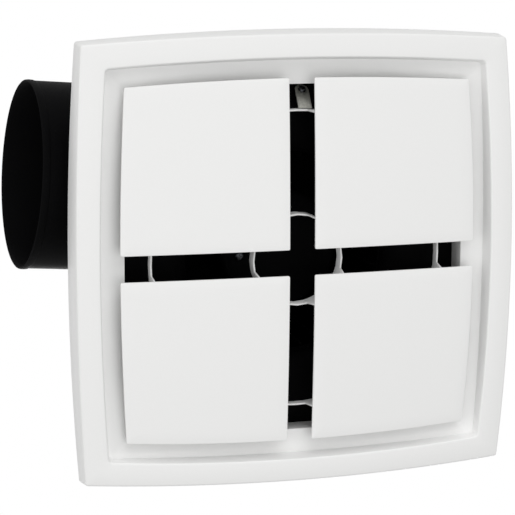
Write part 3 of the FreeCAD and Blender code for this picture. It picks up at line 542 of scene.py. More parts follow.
def vary(tree, shader, driver, dark, light, smooth, rough, grain=0.0, depth=0.0):
    """Colour, roughness and, with a grain, a bump of a depth in millimetres, all from one texture's value."""
    # A texture's value seldom leaves this middle part of its range
    middle = {"From Min": 0.3, "From Max": 0.7}
    share = add_node(tree, "ShaderNodeMapRange", middle, {"Value": driver}).outputs["Result"]
    # Sockets 6 and 7 are the mix's two colours
    colour = add_node(tree, "ShaderNodeMix", {6: dark, 7: light}, {"Factor": share}, data_type="RGBA")
    sheen = add_node(tree, "ShaderNodeMapRange", {"To Min": smooth, "To Max": rough}, {"Value": share})
    tree.links.new(colour.outputs["Result"], shader.inputs["Base Color"])
    tree.links.new(sheen.outputs["Result"], shader.inputs["Roughness"])
    if grain:
        height = {"Strength": grain, "Distance": depth * MM}
        bump = add_node(tree, "ShaderNodeBump", height, {"Height": driver})
        tree.links.new(bump.outputs["Normal"], shader.inputs["Normal"])


def shaded(colour, share):
    """Colour made darker or lighter by a share."""
    return [channel * share for channel in colour[:3]] + [1.0]


def white_abs(colour):
    """Injection-moulded ABS from a satin tool: even and pale, with a soft broad sheen."""
    material, tree, shader, where = start_material("satin_white_abs", Specular_IOR_Level=0.42, IOR=1.53)
    # The tool's satin grain is near 0.1 mm, but is drawn at 1.4 mm so that it breaks up the sheen in a render
    grain = add_node(tree, "ShaderNodeTexNoise", {"Scale": per_mm(1.4), "Detail": 3.0}, {"Vector": where})
    vary(tree, shader, grain.outputs["Fac"], shaded(colour, 0.99), colour,
         smooth=0.36, rough=0.48, grain=0.06, depth=0.03)
    return material


def black_polypropylene(name, colour, specular):
    """Moulded polypropylene from a spark-eroded tool: near black, matt, with a fine even grain."""
    material, tree, shader, where = start_material(name, Specular_IOR_Level=specular, IOR=1.49)
    # Eroded grain is near 0.2 mm, but is drawn at 0.9 mm so that it shows
    grain = add_node(tree, "ShaderNodeTexNoise", {"Scale": per_mm(0.9), "Detail": 2.0}, {"Vector": where})
    vary(tree, shader, grain.outputs["Fac"], shaded(colour, 0.8), shaded(colour, 1.2),
         smooth=0.5, rough=0.66, grain=0.25, depth=0.05)
    return material


def zinc_plate(name, dark, light):
    """Zinc on steel: silvery where bright, dulled in patches by handling; a darker copy of it paints shade.
    """
    material, tree, shader, where = start_material(name, Metallic=1.0)
    patches = add_node(tree, "ShaderNodeTexNoise", {"Scale": per_mm(2.5), "Detail": 4.0}, {"Vector": where})
    vary(tree, shader, patches.outputs["Fac"], linear(dark), linear(light), smooth=0.24, rough=0.4)
    return material


def spring_steel():
    """Cold-rolled strip: grey, with fine rolling lines along its length."""
    material, tree, shader, where = start_material("rolled_spring_steel", Metallic=0.75)
    # The strips slope up and out, so the lines are stretched along height
    drawn = add_node(tree, "ShaderNodeMapping", {"Scale": (1.0, 1.0, 0.06)}, {"Vector": where})
    lines = add_node(tree, "ShaderNodeTexNoise", {"Scale": per_mm(0.7), "Detail": 3.0},
                     {"Vector": drawn.outputs["Vector"]})
    vary(tree, shader, lines.outputs["Fac"], linear("96968F"), linear("B9B9B2"),
         smooth=0.45, rough=0.62, grain=0.15, depth=0.02)
    return material


def turned_steel():
    """Drawn and turned steel: mid grey, with fine rings round the motor's axis."""
    material, tree, shader, where = start_material("turned_steel", Metallic=1.0)
    rings = add_node(tree, "ShaderNodeTexWave", {"Scale": per_mm(6.0), "Distortion": 0.6, "Detail": 2.0},
                     {"Vector": where}, wave_type="RINGS", rings_direction="Z")
    vary(tree, shader, rings.outputs["Fac"], linear("85868A"), linear("9C9DA0"), smooth=0.26, rough=0.4)
    return material


def cast_aluminium():
    """Die-cast aluminium: pale grey, with a slightly pitted skin."""
    material, tree, shader, where = start_material("cast_aluminium", Metallic=1.0)
    pits = add_node(tree, "ShaderNodeTexNoise", {"Scale": per_mm(1.2), "Detail": 4.0}, {"Vector": where})
    vary(tree, shader, pits.outputs["Fac"], linear("A6A7A9"), linear("C4C5C6"),
         smooth=0.42, rough=0.6, grain=0.3, depth=0.05)
    return material


def lamination_steel():
    """Stacked electrical steel: dark varnish over the edges of thin sheets."""
    material, tree, shader, where = start_material("lamination_steel", Metallic=0.6)
    # Sheets are 0.5 mm, but are drawn as 1 mm bands so that they show
    sheets = add_node(tree, "ShaderNodeTexWave", {"Scale": per_mm(6.0), "Distortion": 0.2}, {"Vector": where},
                      wave_type="BANDS", bands_direction="Z")
    vary(tree, shader, sheets.outputs["Fac"], linear("3A3B3E"), linear("5C5D60"),
         smooth=0.4, rough=0.6, grain=0.4, depth=0.05)
    return material


def copper_winding():
    """Enamelled copper wire under varnish: red-brown, in fine strands round the coil."""
    material, tree, shader, where = start_material("enamelled_copper", Metallic=0.8)
    strands = add_node(tree, "ShaderNodeTexWave", {"Scale": per_mm(5.0), "Distortion": 1.5, "Detail": 1.0},
                       {"Vector": where}, wave_type="RINGS", rings_direction="Z")
    vary(tree, shader, strands.outputs["Fac"], linear("7A3B1C"), linear("B8622F"),
         smooth=0.3, rough=0.45, grain=0.5, depth=0.2)
    return material


def moulded_plastic(name, dark, light):
    """Small plain moulding in nylon or polyester: semi-matt, faintly mottled."""
    material, tree, shader, where = start_material(name, Specular_IOR_Level=0.4, IOR=1.53)
    flow = add_node(tree, "ShaderNodeTexNoise", {"Scale": per_mm(6.0), "Detail": 3.0}, {"Vector": where})
    vary(tree, shader, flow.outputs["Fac"], linear(dark), linear(light),
         smooth=0.38, rough=0.52, grain=0.1, depth=0.03)
    return material


def floor_paint():
    """Painted studio floor: nearly white, matt."""
    material, tree, shader, where = start_material("studio_floor", Specular_IOR_Level=0.1)
    wash = add_node(tree, "ShaderNodeTexNoise", {"Scale": per_mm(900.0), "Detail": 2.0}, {"Vector": where})
    vary(tree, shader, wash.outputs["Fac"], linear("F5F5F4"), linear("F9F9F8"), smooth=0.86, rough=0.94)
    return material


finishes = {}


def finish_for(name, make, *values):
    """Material made once and then shared by its name."""
    if name not in finishes:
        finishes[name] = make(*values)
    return finishes[name]


def satin_white(settings):
    """Finish of the surround, panels and rings."""
    return finish_for("satin_white", white_abs, list(settings.colour))


def matt_black(settings):
    """Finish of the tray, spigot, flap and impeller."""
    colour, specular = list(settings.colour), 0.02
    return finish_for("matt_black", black_polypropylene, "matt_black_polypropylene", colour, specular)


def casing_black(settings):
    """Finish of the casing, its cover and the terminal box: a paler, shinier copy of the matt black, whose
    extra paleness is painted light so that their shapes show.
    """
    # A paler copy of the same black plastic: painted light on the housing's top and sides
    paler, specular = 2.2, 0.12
    colour = shaded(settings.colour, paler)
    return finish_for("casing_black", black_polypropylene, "casing_black_polypropylene", colour, specular)


def bright_zinc():
    """Finish of the clamp, the flap's pin and most screws."""
    return finish_for("bright_zinc", zinc_plate, "bright_zinc_plate", "5E5F61", "8C8D8E")


def dark_zinc():
    """Finish of the screws that show behind the grille: the zinc darkened as painted shade, for their place
    deep in the housing.
    """
    return finish_for("dark_zinc", zinc_plate, "dark_zinc_plate", "38393B", "55575A")


def grey_nylon():
    """Finish of the cable gland and the terminal block."""
    return finish_for("grey_nylon", moulded_plastic, "grey_nylon", "83868A", "8F9296")


# Fascia

def frame_height(reach):
    """Height of the frame's domed front at a distance from the middle."""
    return FRAME_CROWN + reach ** 2 / (2 * FRAME_DOME)


def frame_shell(bm, edge_round, recess_round):
    """Domed surround, channel and floor as one closed shell."""
    front_middle = FRAME_MIDDLE + FRAME_LEAN * frame_height(FRAME_MIDDLE)
    front_corner = FRAME_CORNER + FRAME_LEAN * frame_height(FRAME_CORNER * math.sqrt(2))
    depth_middle = RECESS_FLOOR - frame_height(RECESS_MIDDLE)
    depth_corner = RECESS_FLOOR - frame_height(RECESS_CORNER * math.sqrt(2))
    floor_middle = RECESS_MIDDLE - RECESS_LEAN * depth_middle
    floor_corner = RECESS_CORNER - RECESS_LEAN * depth_corner
    floor_back = RECESS_FLOOR + FRAME_WALL
    wall = FRAME_WALL
    behind = wall - RECESS_LEAN * wall
    back_crown = FRAME_CROWN + wall
    floor_edge = bowed_square(floor_middle, floor_corner, RECESS_RADIUS)
    opening = same_bearings(floor_edge, opening_reach)
    inner_radius = FRAME_INNER_RADIUS
    outer_recess = RECESS_RADIUS + wall
    rings = skin(bm, [
        level(bowed_square(FRAME_MIDDLE, FRAME_CORNER, FRAME_RADIUS), 0.0),
        on_dome(bowed_square(front_middle, front_corner, FRAME_RADIUS), FRAME_DOME, FRAME_CROWN),
        on_dome(bowed_square(RECESS_MIDDLE, RECESS_CORNER, RECESS_RADIUS), FRAME_DOME, FRAME_CROWN),
        level(floor_edge, RECESS_FLOOR),
        level(opening, RECESS_FLOOR),
        level(opening, floor_back),
        level(bowed_square(floor_middle + behind, floor_corner + behind, outer_recess), floor_back),
        on_dome(bowed_square(RECESS_MIDDLE + behind, RECESS_CORNER + behind, outer_recess),
                FRAME_DOME, back_crown),
        on_dome(bowed_square(front_middle - wall, front_corner - wall, inner_radius), FRAME_DOME, back_crown),
        level(bowed_square(FRAME_MIDDLE - wall, FRAME_CORNER - wall, inner_radius), 0.0),
    ], closed=True)
    soften(bm, rings[1], edge_round, segments=4)
    soften(bm, rings[2], recess_round, segments=4)
    soften(bm, rings[3], RECESS_FOOT_ROUND, segments=2)
    soften(bm, rings[0] + rings[4] + rings[5] + rings[9], THIN_BREAK, segments=2)


def opening_reach(bearing):
    """Distance to the edge of the frame's opening, a square with gussets across its corners."""
    across, along = abs(math.cos(bearing)), abs(math.sin(bearing))
    return min(OPENING_HALF / max(across, along), OPENING_GUSSET / (across + along))


def frame_collar(bm):
    """Square collar behind the opening, which goes up into the tray's mouth."""
    # A hair inside the floor's front face and opening, so that no two faces lie on each other
    hair = 0.05
    inner = square(OPENING_HALF + hair, COLLAR_RADIUS - COLLAR_WALL)
    outer = square(OPENING_HALF + COLLAR_WALL, COLLAR_RADIUS)
    front = RECESS_FLOOR + hair
    loops = [level(inner, front), level(outer, front), level(outer, COLLAR_TOP), level(inner, COLLAR_TOP)]
    rings = skin(bm, loops, closed=True)
    soften(bm, rings[2] + rings[3], WALL_BREAK, segments=2)


def frame_ribs(bm):
    """Stiffening ribs behind the surround, three to a side."""
    sunk = 0.7
    for quarter in range(4):
        turn = Matrix.Rotation(math.pi / 2 * quarter, 4, "Z")
        for along in FRAME_RIB_PLACES:
            share = (along / FRAME_CORNER) ** 2
            far = FRAME_MIDDLE - (FRAME_MIDDLE - FRAME_CORNER) * share - FRAME_WALL
            near = RECESS_MIDDLE - (RECESS_MIDDLE - RECESS_CORNER) * share + FRAME_WALL - 2 * sunk
            bottom = frame_height(math.hypot(near, along)) + FRAME_WALL - sunk
            block(bm, (near, along, bottom), (far, along + RIB_THICKNESS, FRAME_RIB_TOP), turn)


class FAN_OT_fascia_frame(bpy.types.Operator):
    """Builds the white domed surround with its channel, collar and ribs"""
    bl_idname = "fan.fascia_frame"
    bl_label = "Fascia frame"

    def execute(self, context):
        settings = context.scene.fan_fascia
        bm = bmesh.new()
        frame_shell(bm, settings.edge_round / MM, settings.recess_round / MM)
        frame_collar(bm)
        frame_ribs(bm)
        finish = satin_white(settings)
        piece(bm, "fascia_frame_moulding", "fascia", ["fascia_frame"], finish)
        return {"FINISHED"}


# Grille

def panel_outline():
    """Outline of the quadrant panel at +X +Y, with two straight sides and two bowed ones."""
    def bow(along):
        return PANEL_MIDDLE - (PANEL_MIDDLE - PANEL_CORNER) * (along / PANEL_CORNER) ** 2
    span = PANEL_CORNER - SLOT_HALF
    inner = Vector((SLOT_HALF, SLOT_HALF))
    across = Vector((bow(SLOT_HALF), SLOT_HALF))
    along = Vector((SLOT_HALF, bow(SLOT_HALF)))
    return rounded([
        straight(inner, across),
        lambda share: Vector((bow(SLOT_HALF + span * share), SLOT_HALF + span * share)),
        lambda share: Vector((PANEL_CORNER - span * share, bow(PANEL_CORNER - span * share))),
        straight(along, inner),
    ], PANEL_RADIUS)


def panel_shell(bm, edge_round, matrix):
    """Domed plate, built out from the middle of its front and back in on its rear, whose edge is cut away."""
    outline = panel_outline()
    middle = Vector((1.0, 1.0)) * (PANEL_MIDDLE + SLOT_HALF) / 2
    inset = 1 - PANEL_REAR_CHAMFER / (middle.x - SLOT_HALF)
    edge_back = PANEL_THICKNESS - PANEL_REAR_CHAMFER
    inward = (0.85, 0.6, 0.3, 0.05)
    front = [(share, 0.0) for share in reversed(inward)]
    edge = [(1.0, 0.0), (1.0, edge_back), (inset, PANEL_THICKNESS)]
    rear = [(share, PANEL_THICKNESS) for share in inward]
    loops = [on_dome([middle.lerp(place, share) for place in outline], PANEL_DOME, PANEL_CROWN + depth)
             for share, depth in front + edge + rear]
    rings = skin(bm, loops, matrix)
    soften(bm, rings[len(front)], edge_round, segments=4)


def panel_rear(reach):
    """Height of the panels' backs at a distance from the middle."""
    return PANEL_CROWN + PANEL_THICKNESS + reach ** 2 / (2 * PANEL_DOME)


def panel_rib(bm, matrix):
    """Rib along the panel's diagonal, broken at the outer ring, and the screw post at its end."""
    half, bite = RIB_THICKNESS / 2, 0.3
    diagonal = matrix @ Matrix.Rotation(math.radians(45), 4, "Z")
    ring_half = RING_WALL / 2
    post_reach = POST_PLACE * math.sqrt(2)
    runs = ((INNER_RING + ring_half, OUTER_RING - ring_half), (OUTER_RING + ring_half, post_reach))
    for start, end in runs:
        loops = []
        for share in (0.0, 0.5, 1.0):
            reach = start + (end - start) * share
            low, high = panel_rear(reach) - bite, panel_rear(reach) + RIB_DEPTH
            loops.append([Vector((reach, -half, low)), Vector((reach, half, low)),
                          Vector((reach, half, high)), Vector((reach, -half, high))])
        skin(bm, loops, diagonal)
    low = panel_rear(post_reach) - bite
    post = matrix @ Matrix.Translation((POST_PLACE, POST_PLACE, 0.0))
    profile = [(0.0, low), (POST_RADIUS, low), (POST_RADIUS, RECESS_FLOOR), (0.0, RECESS_FLOOR)]
    lathe(bm, profile, segments=32, matrix=post, closed=False)


def ring_bearings(radius, steps):
    """Bearings round a ring, with one at each corner of its notches."""
    edge = math.asin(SLOT_HALF / radius)
    corner = math.asin(NOTCH_HALF / radius)
    bearings = []
    for quarter in range(4):
        turn = math.pi / 2 * quarter
        bearings += [turn - edge, turn - corner, turn, turn + corner, turn + edge]
        span = math.pi / 2 - 2 * edge
        bearings += [turn + edge + span * step / steps for step in range(1, steps)]
    return bearings


def ring_front(place, notch):
    """Height of a ring's front edge: in a notch where it crosses a slot, else on the panels' backs."""
    offset = min(abs(place.x), abs(place.y))
    if offset <= NOTCH_HALF:
        return notch
    if offset < SLOT_HALF:
        return notch - NOTCH_RAMP * (offset - NOTCH_HALF) / (SLOT_HALF - NOTCH_HALF)
    return panel_rear(place.length) - RING_BITE


def grille_ring(bm, radius, notch, steps):
    """Thin upright ring behind the panels, notched where it crosses the slots."""
    bearings = ring_bearings(radius, steps)
    walls = []
    for side in (-0.5, 0.5):
        reach = radius + side * RING_WALL
        walls.append([Vector((reach * math.cos(b), reach * math.sin(b))) for b in bearings])
    fronts = [[Vector((p.x, p.y, ring_front(p * radius / p.length, notch))) for p in wall] for wall in walls]
    loops = [level(walls[0], RING_REAR), fronts[0], fronts[1], level(walls[1], RING_REAR)]
    rings = skin(bm, loops, closed=True)
    soften(bm, rings[1] + rings[2], THIN_BREAK, segments=2)


class FAN_OT_grille(bpy.types.Operator):
    """Builds the four white panels and the two rings behind them"""
    bl_idname = "fan.grille"
    bl_label = "Grille panels and rings"

    def execute(self, context):
        settings = context.scene.fan_fascia
        finish = satin_white(settings)
        places = ("upper_left", "upper_right", "lower_right", "lower_left")
        for quarter, place in enumerate(places):
            bm = bmesh.new()
            turn = Matrix.Rotation(math.pi / 2 * quarter, 4, "Z")
            panel_shell(bm, settings.panel_round / MM, turn)
            panel_rib(bm, turn)
            piece(bm, f"panel_{place}_moulding", "fascia", [f"panel_{place}"], finish)
        for name, radius, notch, steps in RINGS:
            bm = bmesh.new()
            grille_ring(bm, radius, notch, steps)
            piece(bm, f"grille_ring_{name}_moulding", "fascia", [f"grille_ring_{name}"], finish)
        return {"FINISHED"}


# Inlet tray and clips

def bell_curve(start, end, steps=5):
    """Quarter-round profile from the tray's plate up into the throat, as (radius, height) points."""
    points = []
    for step in range(steps + 1):
        angle = math.pi / 2 * step / steps
        points.append((start[0] + (end[0] - start[0]) * math.sin(angle),
                       end[1] + (start[1] - end[1]) * math.cos(angle)))
    return points


def tray_shell(bm, edge_round):
    """Ceiling flange, mouth, plate and bell as one closed shell."""
    flange = square(FLANGE_HALF, FLANGE_RADIUS)
    outer = square(MOUTH_HALF + MOUTH_WALL, MOUTH_OUTER_RADIUS)
    inner = square(MOUTH_HALF, MOUTH_RADIUS)
    upper = bell_curve((BELL_OUTER, PLATE_TOP), (BELL_THROAT + BELL_WALL, BELL_LIP))
    lower = bell_curve((BELL_OUTER, PLATE_BOTTOM), (BELL_THROAT, BELL_LIP))
    loops = [level(flange, -FLANGE_THICKNESS), level(flange, 0.0), level(outer, 0.0), level(outer, PLATE_TOP)]
    loops += [level(same_bearings(outer, radius), height) for radius, height in upper]
    loops += [level(same_bearings(inner, radius), height) for radius, height in reversed(lower)]
    loops += [level(inner, PLATE_BOTTOM), level(inner, -FLANGE_THICKNESS)]
    rings = skin(bm, loops, closed=True)
    soften(bm, rings[0] + rings[1] + rings[3] + rings[-1], edge_round, segments=2)


def clip_matrix(angle):
    """Frame of a clip: X runs up the strip from its tip on the ring, Z points into the boss behind it."""
    tip = Matrix.Translation((OUTER_RING + RING_WALL / 2 + CLIP_GAP, 0.0, CLIP_TIP))
    return Matrix.Rotation(math.radians(angle), 4, "Z") @ tip @ Matrix.Rotation(-CLIP_SLOPE, 4, "Y")


def clip_boss(bm, angle):
    """Wedge under the plate, with upright walls and a sloping face for the clip."""
    bite = 0.4
    ends = (CLIP_BOSS_START, CLIP_BOSS_END)
    low, high = [clip_matrix(0.0) @ Vector((along, 0.0, CLIP_THICKNESS)) for along in ends]
    top = PLATE_BOTTOM + bite
    section = [(low.x, low.z), (high.x, high.z), (high.x, top), (low.x, top)]
    sides = [[Vector((x, side * CLIP_BOSS_WIDTH / 2, z)) for x, z in section] for side in (-1, 1)]
    skin(bm, sides, Matrix.Rotation(math.radians(angle), 4, "Z"))


class FAN_OT_inlet_tray(bpy.types.Operator):
    """Builds the black tray with its ceiling flange, fixing holes and bell mouth"""
    bl_idname = "fan.inlet_tray"
    bl_label = "Inlet tray"

    def execute(self, context):
        settings = context.scene.fan_housing
        bm = bmesh.new()
        tray_shell(bm, settings.edge_round / MM)
        finish = matt_black(settings)
        tray = piece(bm, "inlet_tray_moulding", "housing", ["inlet_tray"], finish)
        holes = [Vector((FIXING_PLACE * x, FIXING_PLACE * y, 0.0)) for x, y in CORNERS]
        past = 1.0
        drill(tray, holes, FIXING_RADIUS, -FLANGE_THICKNESS - past, past)
        bm = bmesh.new()
        for angle in CLIP_ANGLES:
            clip_boss(bm, angle)
        soften_sharp(bm, WALL_BREAK)
        piece(bm, "clip_boss_set", "housing", ["inlet_tray"], finish)
        return {"FINISHED"}


def clip_strip(bm, matrix):
    """Spring strip with a tip cut to the ring and a rounded end round its screw."""
    half = CLIP_WIDTH / 2
    end = CLIP_SCREW_ALONG + half
    radii = (CLIP_TIP_RADIUS, CLIP_END_RADIUS, CLIP_END_RADIUS, CLIP_TIP_RADIUS)
    loops = []
    for depth in (0.0, CLIP_THICKNESS):
        tip = depth * math.tan(CLIP_SLOPE)
        corners = [Vector((tip, -half)), Vector((end, -half)), Vector((end, half)), Vector((tip, half))]
        loops.append(level(polygon(corners, *radii), depth))
    rings = skin(bm, loops, matrix)
    soften(bm, rings[0] + rings[1], THIN_BREAK, segments=2)


class FAN_OT_retaining_clips(bpy.types.Operator):
    """Builds the spring clips that grip the outer ring"""
    bl_idname = "fan.retaining_clips"
    bl_label = "Retaining clips"

    def execute(self, context):
        bm = bmesh.new()
        for angle in CLIP_ANGLES:
            clip_strip(bm, clip_matrix(angle))
        finish = finish_for("spring_steel", spring_steel)
        piece(bm, "retaining_clip_set", "housing", ["retaining_clips"], finish)
        return {"FINISHED"}


# Scroll casing

def outlet_offset():
    """Distance of the duct's axis from the fan's axis, in plan."""
    return (SCROLL_TURN.inverted() @ OUTLET.translation).y


def outlet_end(height):
    """How far the casing runs along the duct at a height."""
    root = SCROLL_TURN.inverted() @ OUTLET.translation
    return root.x + (height - root.z) * math.tan(OUTLET_FALL)


def scroll_start(grow):
    """Bearing of the tongue, and the radius there."""
    radius = TONGUE_RADIUS + grow
    return math.asin((outlet_offset() - THROAT_HALF - grow) / radius), radius


def scroll_path(grow, height, steps=56):
    """Plan places of the casing's wall, moved out by grow, from the outlet's lower end to its upper one."""
    start, base = scroll_start(grow)
    upper = outlet_offset() + THROAT_HALF + grow
    end = outlet_end(height)
    places = [Vector((end, base * math.sin(start)))]
    for step in range(steps + 1):
        radius = base + (upper - base) * step / steps
        bearing = start + (SPIRAL_END - start) * step / steps
        places.append(Vector((radius * math.cos(bearing), radius * math.sin(bearing))))
    return places + [Vector((end / 2, upper)), Vector((end, upper))]


def wall_section(outer_grow, inner_grow, height):
    """Plan section of a wall that follows the scroll, open at the outlet."""
    return level(scroll_path(outer_grow, height) + scroll_path(inner_grow, height)[::-1], height)


def beside_wall(offset, shares, along):
    """Places at an offset from the casing's inner wall: two beside the throat, the rest round the spiral."""
    lower = outlet_offset() - THROAT_HALF
    upper = outlet_offset() + THROAT_HALF
    start, base = scroll_start(0.0)
    places = [Vector((along[0], upper + offset, 0.0)), Vector((along[1], lower - offset, 0.0))]
    for share in shares:
        bearing = start + (SPIRAL_END - start) * share
        places.append(polar(base + (upper - base) * share + offset, math.degrees(bearing), 0.0))
    return [SCROLL_TURN @ place for place in places]


def casing_screw_places():
    return beside_wall(CASING_WALL + LIP_WIDTH / 2, CASING_SCREW_SHARES, CASING_SCREW_ALONG)


def cover_screw_places():
    return beside_wall(BOSS_OFFSET, COVER_SCREW_SHARES, COVER_SCREW_ALONG)


def casing_wall(bm, edge_round):
    """Spiral wall, its foot and the bosses for the cover."""
    wall = [wall_section(CASING_WALL, 0.0, height) for height in (PLATE_TOP, CASING_INNER_TOP)]
    skin(bm, wall, SCROLL_TURN)
    lip_top = PLATE_TOP + LIP_THICKNESS
    sunk = 0.4
    outer, inner = CASING_WALL + LIP_WIDTH, CASING_WALL - sunk
    lip = [wall_section(outer, inner, height) for height in (PLATE_TOP, lip_top)]
    rings = skin(bm, lip, SCROLL_TURN)
    soften(bm, rings[1], edge_round, segments=2)
    bottom = CASING_INNER_TOP - BOSS_LENGTH
    profile = [(0.0, bottom), (BOSS_TIP_RADIUS, bottom), (BOSS_RADIUS, bottom + BOSS_TAPER),
               (BOSS_RADIUS, CASING_INNER_TOP), (0.0, CASING_INNER_TOP)]
    for place in cover_screw_places():
        lathe(bm, profile, segments=24, matrix=Matrix.Translation(place), closed=False)


def casing_end_plate(bm):
    """Flat plate across the outlet, with the hole that the spigot covers."""
    half = THROAT_HALF + CASING_WALL
    low = PLATE_TOP - OUTLET.translation.z
    high = CASING_INNER_TOP - OUTLET.translation.z
    corners = [Vector((half, low)), Vector((half, high)), Vector((-half, high)), Vector((-half, low))]
    outline = polygon(corners, WALL_BREAK)
    hole = same_bearings(outline, SPIGOT_BORE)
    loops = [upright(outline, 0.0), upright(outline, -END_PLATE), upright(hole, -END_PLATE),
             upright(hole, 0.0)]
    skin(bm, loops, OUTLET, closed=True)


def cover_outline(height):
    """Plan outline of the cover, closed across the outlet by short steps."""
    path = scroll_path(CASING_WALL, height)
    steps = 12
    return path + [path[-1].lerp(path[0], step / steps) for step in range(1, steps)]


def cover_shell(bm, edge_round):
    """Cover plate, the rim of its well, the well and its floor as one closed shell."""
    low, high = cover_outline(CASING_INNER_TOP), cover_outline(CASING_TOP)
    outer = WELL_RADIUS + CASING_WALL
    well = [(outer, CASING_TOP), (outer, TOP_RIB_TOP), (WELL_RADIUS, TOP_RIB_TOP),
            (WELL_RADIUS, WELL_FLOOR_TOP), (WIRE_HOLE, WELL_FLOOR_TOP), (WIRE_HOLE, WELL_FLOOR),
            (outer, WELL_FLOOR), (outer, CASING_INNER_TOP)]
    loops = [level(low, CASING_INNER_TOP), level(high, CASING_TOP)]
    loops += [level(same_bearings(high, radius), height) for radius, height in well]
    rings = skin(bm, loops, SCROLL_TURN, closed=True)
    soften(bm, rings[1] + rings[3] + rings[4], edge_round, segments=2)
    soften(bm, rings[5], WELL_ROUND, segments=3)


def cover_reach(bearing):
    """Distance to the cover's edge on a bearing in the scroll's plan."""
    start, base = scroll_start(CASING_WALL)
    upper = outlet_offset() + THROAT_HALF + CASING_WALL
    if start < bearing < math.pi / 2:
        ends = [outlet_end(CASING_TOP) / math.cos(bearing)]
        if bearing > 0:
            ends.append(upper / math.sin(bearing))
        return min(ends)
    share = ((start - bearing) % (2 * math.pi)) / (start - SPIRAL_END)
    return base + (upper - base) * share


def cover_ribs(bm):
    """Ribs on the cover, from the well's rim to its edge, and ears over the bosses."""
    bite, short, drop, ear_break = 0.5, 1.2, 0.3, 0.4
    for index in range(TOP_RIB_COUNT):
        bearing = 2 * math.pi * index / TOP_RIB_COUNT
        end = cover_reach((bearing + math.pi) % (2 * math.pi) - math.pi) - short
        turn = SCROLL_TURN @ Matrix.Rotation(bearing, 4, "Z")
        block(bm, (WELL_RADIUS + bite, -TOP_RIB_HALF, CASING_TOP - bite),
              (end, TOP_RIB_HALF, TOP_RIB_TOP - drop), turn)
    ear = [(0.0, CASING_INNER_TOP), (BOSS_RADIUS, CASING_INNER_TOP), (BOSS_RADIUS, CASING_TOP - ear_break),
           (BOSS_RADIUS - ear_break, CASING_TOP), (0.0, CASING_TOP)]
    for place in cover_screw_places():
        lathe(bm, ear, segments=24, matrix=Matrix.Translation(place), closed=False)


class FAN_OT_scroll_casing(bpy.types.Operator):
    """Builds the black scroll casing and the ribbed cover that carries the motor"""
    bl_idname = "fan.scroll_casing"
    bl_label = "Scroll casing and cover"

    def execute(self, context):
        settings = context.scene.fan_housing
        # The casing and cover take the paler copy of the black, which is painted light
        finish = casing_black(settings)
        edge_round = settings.edge_round / MM
        bm = bmesh.new()
        casing_wall(bm, edge_round)
        casing_end_plate(bm)
        piece(bm, "scroll_casing_moulding", "housing", ["scroll_casing"], finish)
        bm = bmesh.new()
        cover_shell(bm, edge_round)
        cover_ribs(bm)
        piece(bm, "casing_cover_moulding", "housing", ["casing_cover"], finish)
        return {"FINISHED"}


# Duct outlet

def spigot_tube(bm):
    """Tube with a rolled bead round its open end, whose mouth is bevelled on the inside."""
    bead_start = SPIGOT_LENGTH - BEAD_LENGTH
    # A power below 1 flattens the bead's crown
    steps, flattening, lead, short, lip = 6, 0.6, 0.5, 0.3, 0.4
    profile = [(SPIGOT_BORE, 0.0), (SPIGOT_RADIUS, 0.0), (SPIGOT_RADIUS, bead_start - lead)]
    rise = BEAD_RADIUS - SPIGOT_RADIUS
    span = BEAD_LENGTH - short
    for step in range(steps + 1):
        angle = math.pi * step / steps
        profile.append((SPIGOT_RADIUS + rise * math.sin(angle) ** flattening,
                        bead_start + span * (1 - math.cos(angle)) / 2))
    profile += [(SPIGOT_RADIUS - lip, SPIGOT_LENGTH), (SPIGOT_BORE, SPIGOT_LENGTH - MOUTH_BEVEL)]
    lathe(bm, profile, segments=128, matrix=OUTLET @ ALONG_X)


def spigot_flange(bm, edge_round):
    """Square flange screwed to the casing's end plate."""
    sunk = 0.5
    outline = square(SPIGOT_FLANGE_HALF, SPIGOT_FLANGE_RADIUS)
    hole = same_bearings(outline, SPIGOT_RADIUS - sunk)
    loops = [upright(outline, 0.0), upright(outline, SPIGOT_FLANGE), upright(hole, SPIGOT_FLANGE),
             upright(hole, 0.0)]
    rings = skin(bm, loops, OUTLET, closed=True)
    soften(bm, rings[1], edge_round, segments=2)


def leaned():
    """Matrix that swings a shape about the flap's pin to where the flap is shut."""
    pin = Matrix.Translation((FLAP_PLACE, 0.0, FLAP_PIVOT))
    return OUTLET @ pin @ Matrix.Rotation(-FLAP_LEAN, 4, "Y") @ pin.inverted()


def flap_stops(bm):
    """Two part rings in the bore that the flap shuts against: one below the pin, one above it."""
    clear_of_pin, sunk, steps = 10.0, 1.0, 24
    for side in (-1, 1):
        near = FLAP_PLACE + side * (FLAP_THICKNESS / 2 + FLAP_STOP_GAP)
        far = near + side * FLAP_STOP_WIDTH
        low, high = SPIGOT_BORE - FLAP_STOP_HEIGHT, SPIGOT_BORE + sunk
        section = [(near, low), (far, low), (far, high), (near, high)]
        first = math.asin((FLAP_PIVOT + clear_of_pin * side) / SPIGOT_BORE)
        last = math.pi - first if side > 0 else -math.pi - first
        loops = []
        for step in range(steps + 1):
            angle = first + (last - first) * step / steps
            across, up = math.cos(angle), math.sin(angle)
            loops.append([Vector((along, reach * across, reach * up)) for along, reach in section])
        skin(bm, loops, leaned())


def rod(radius, half, edge):
    """Profile of a rod or disc about its middle, with broken edges."""
    return [(0.0, -half), (radius - edge, -half), (radius, edge - half), (radius, half - edge),
            (radius - edge, half), (0.0, half)]


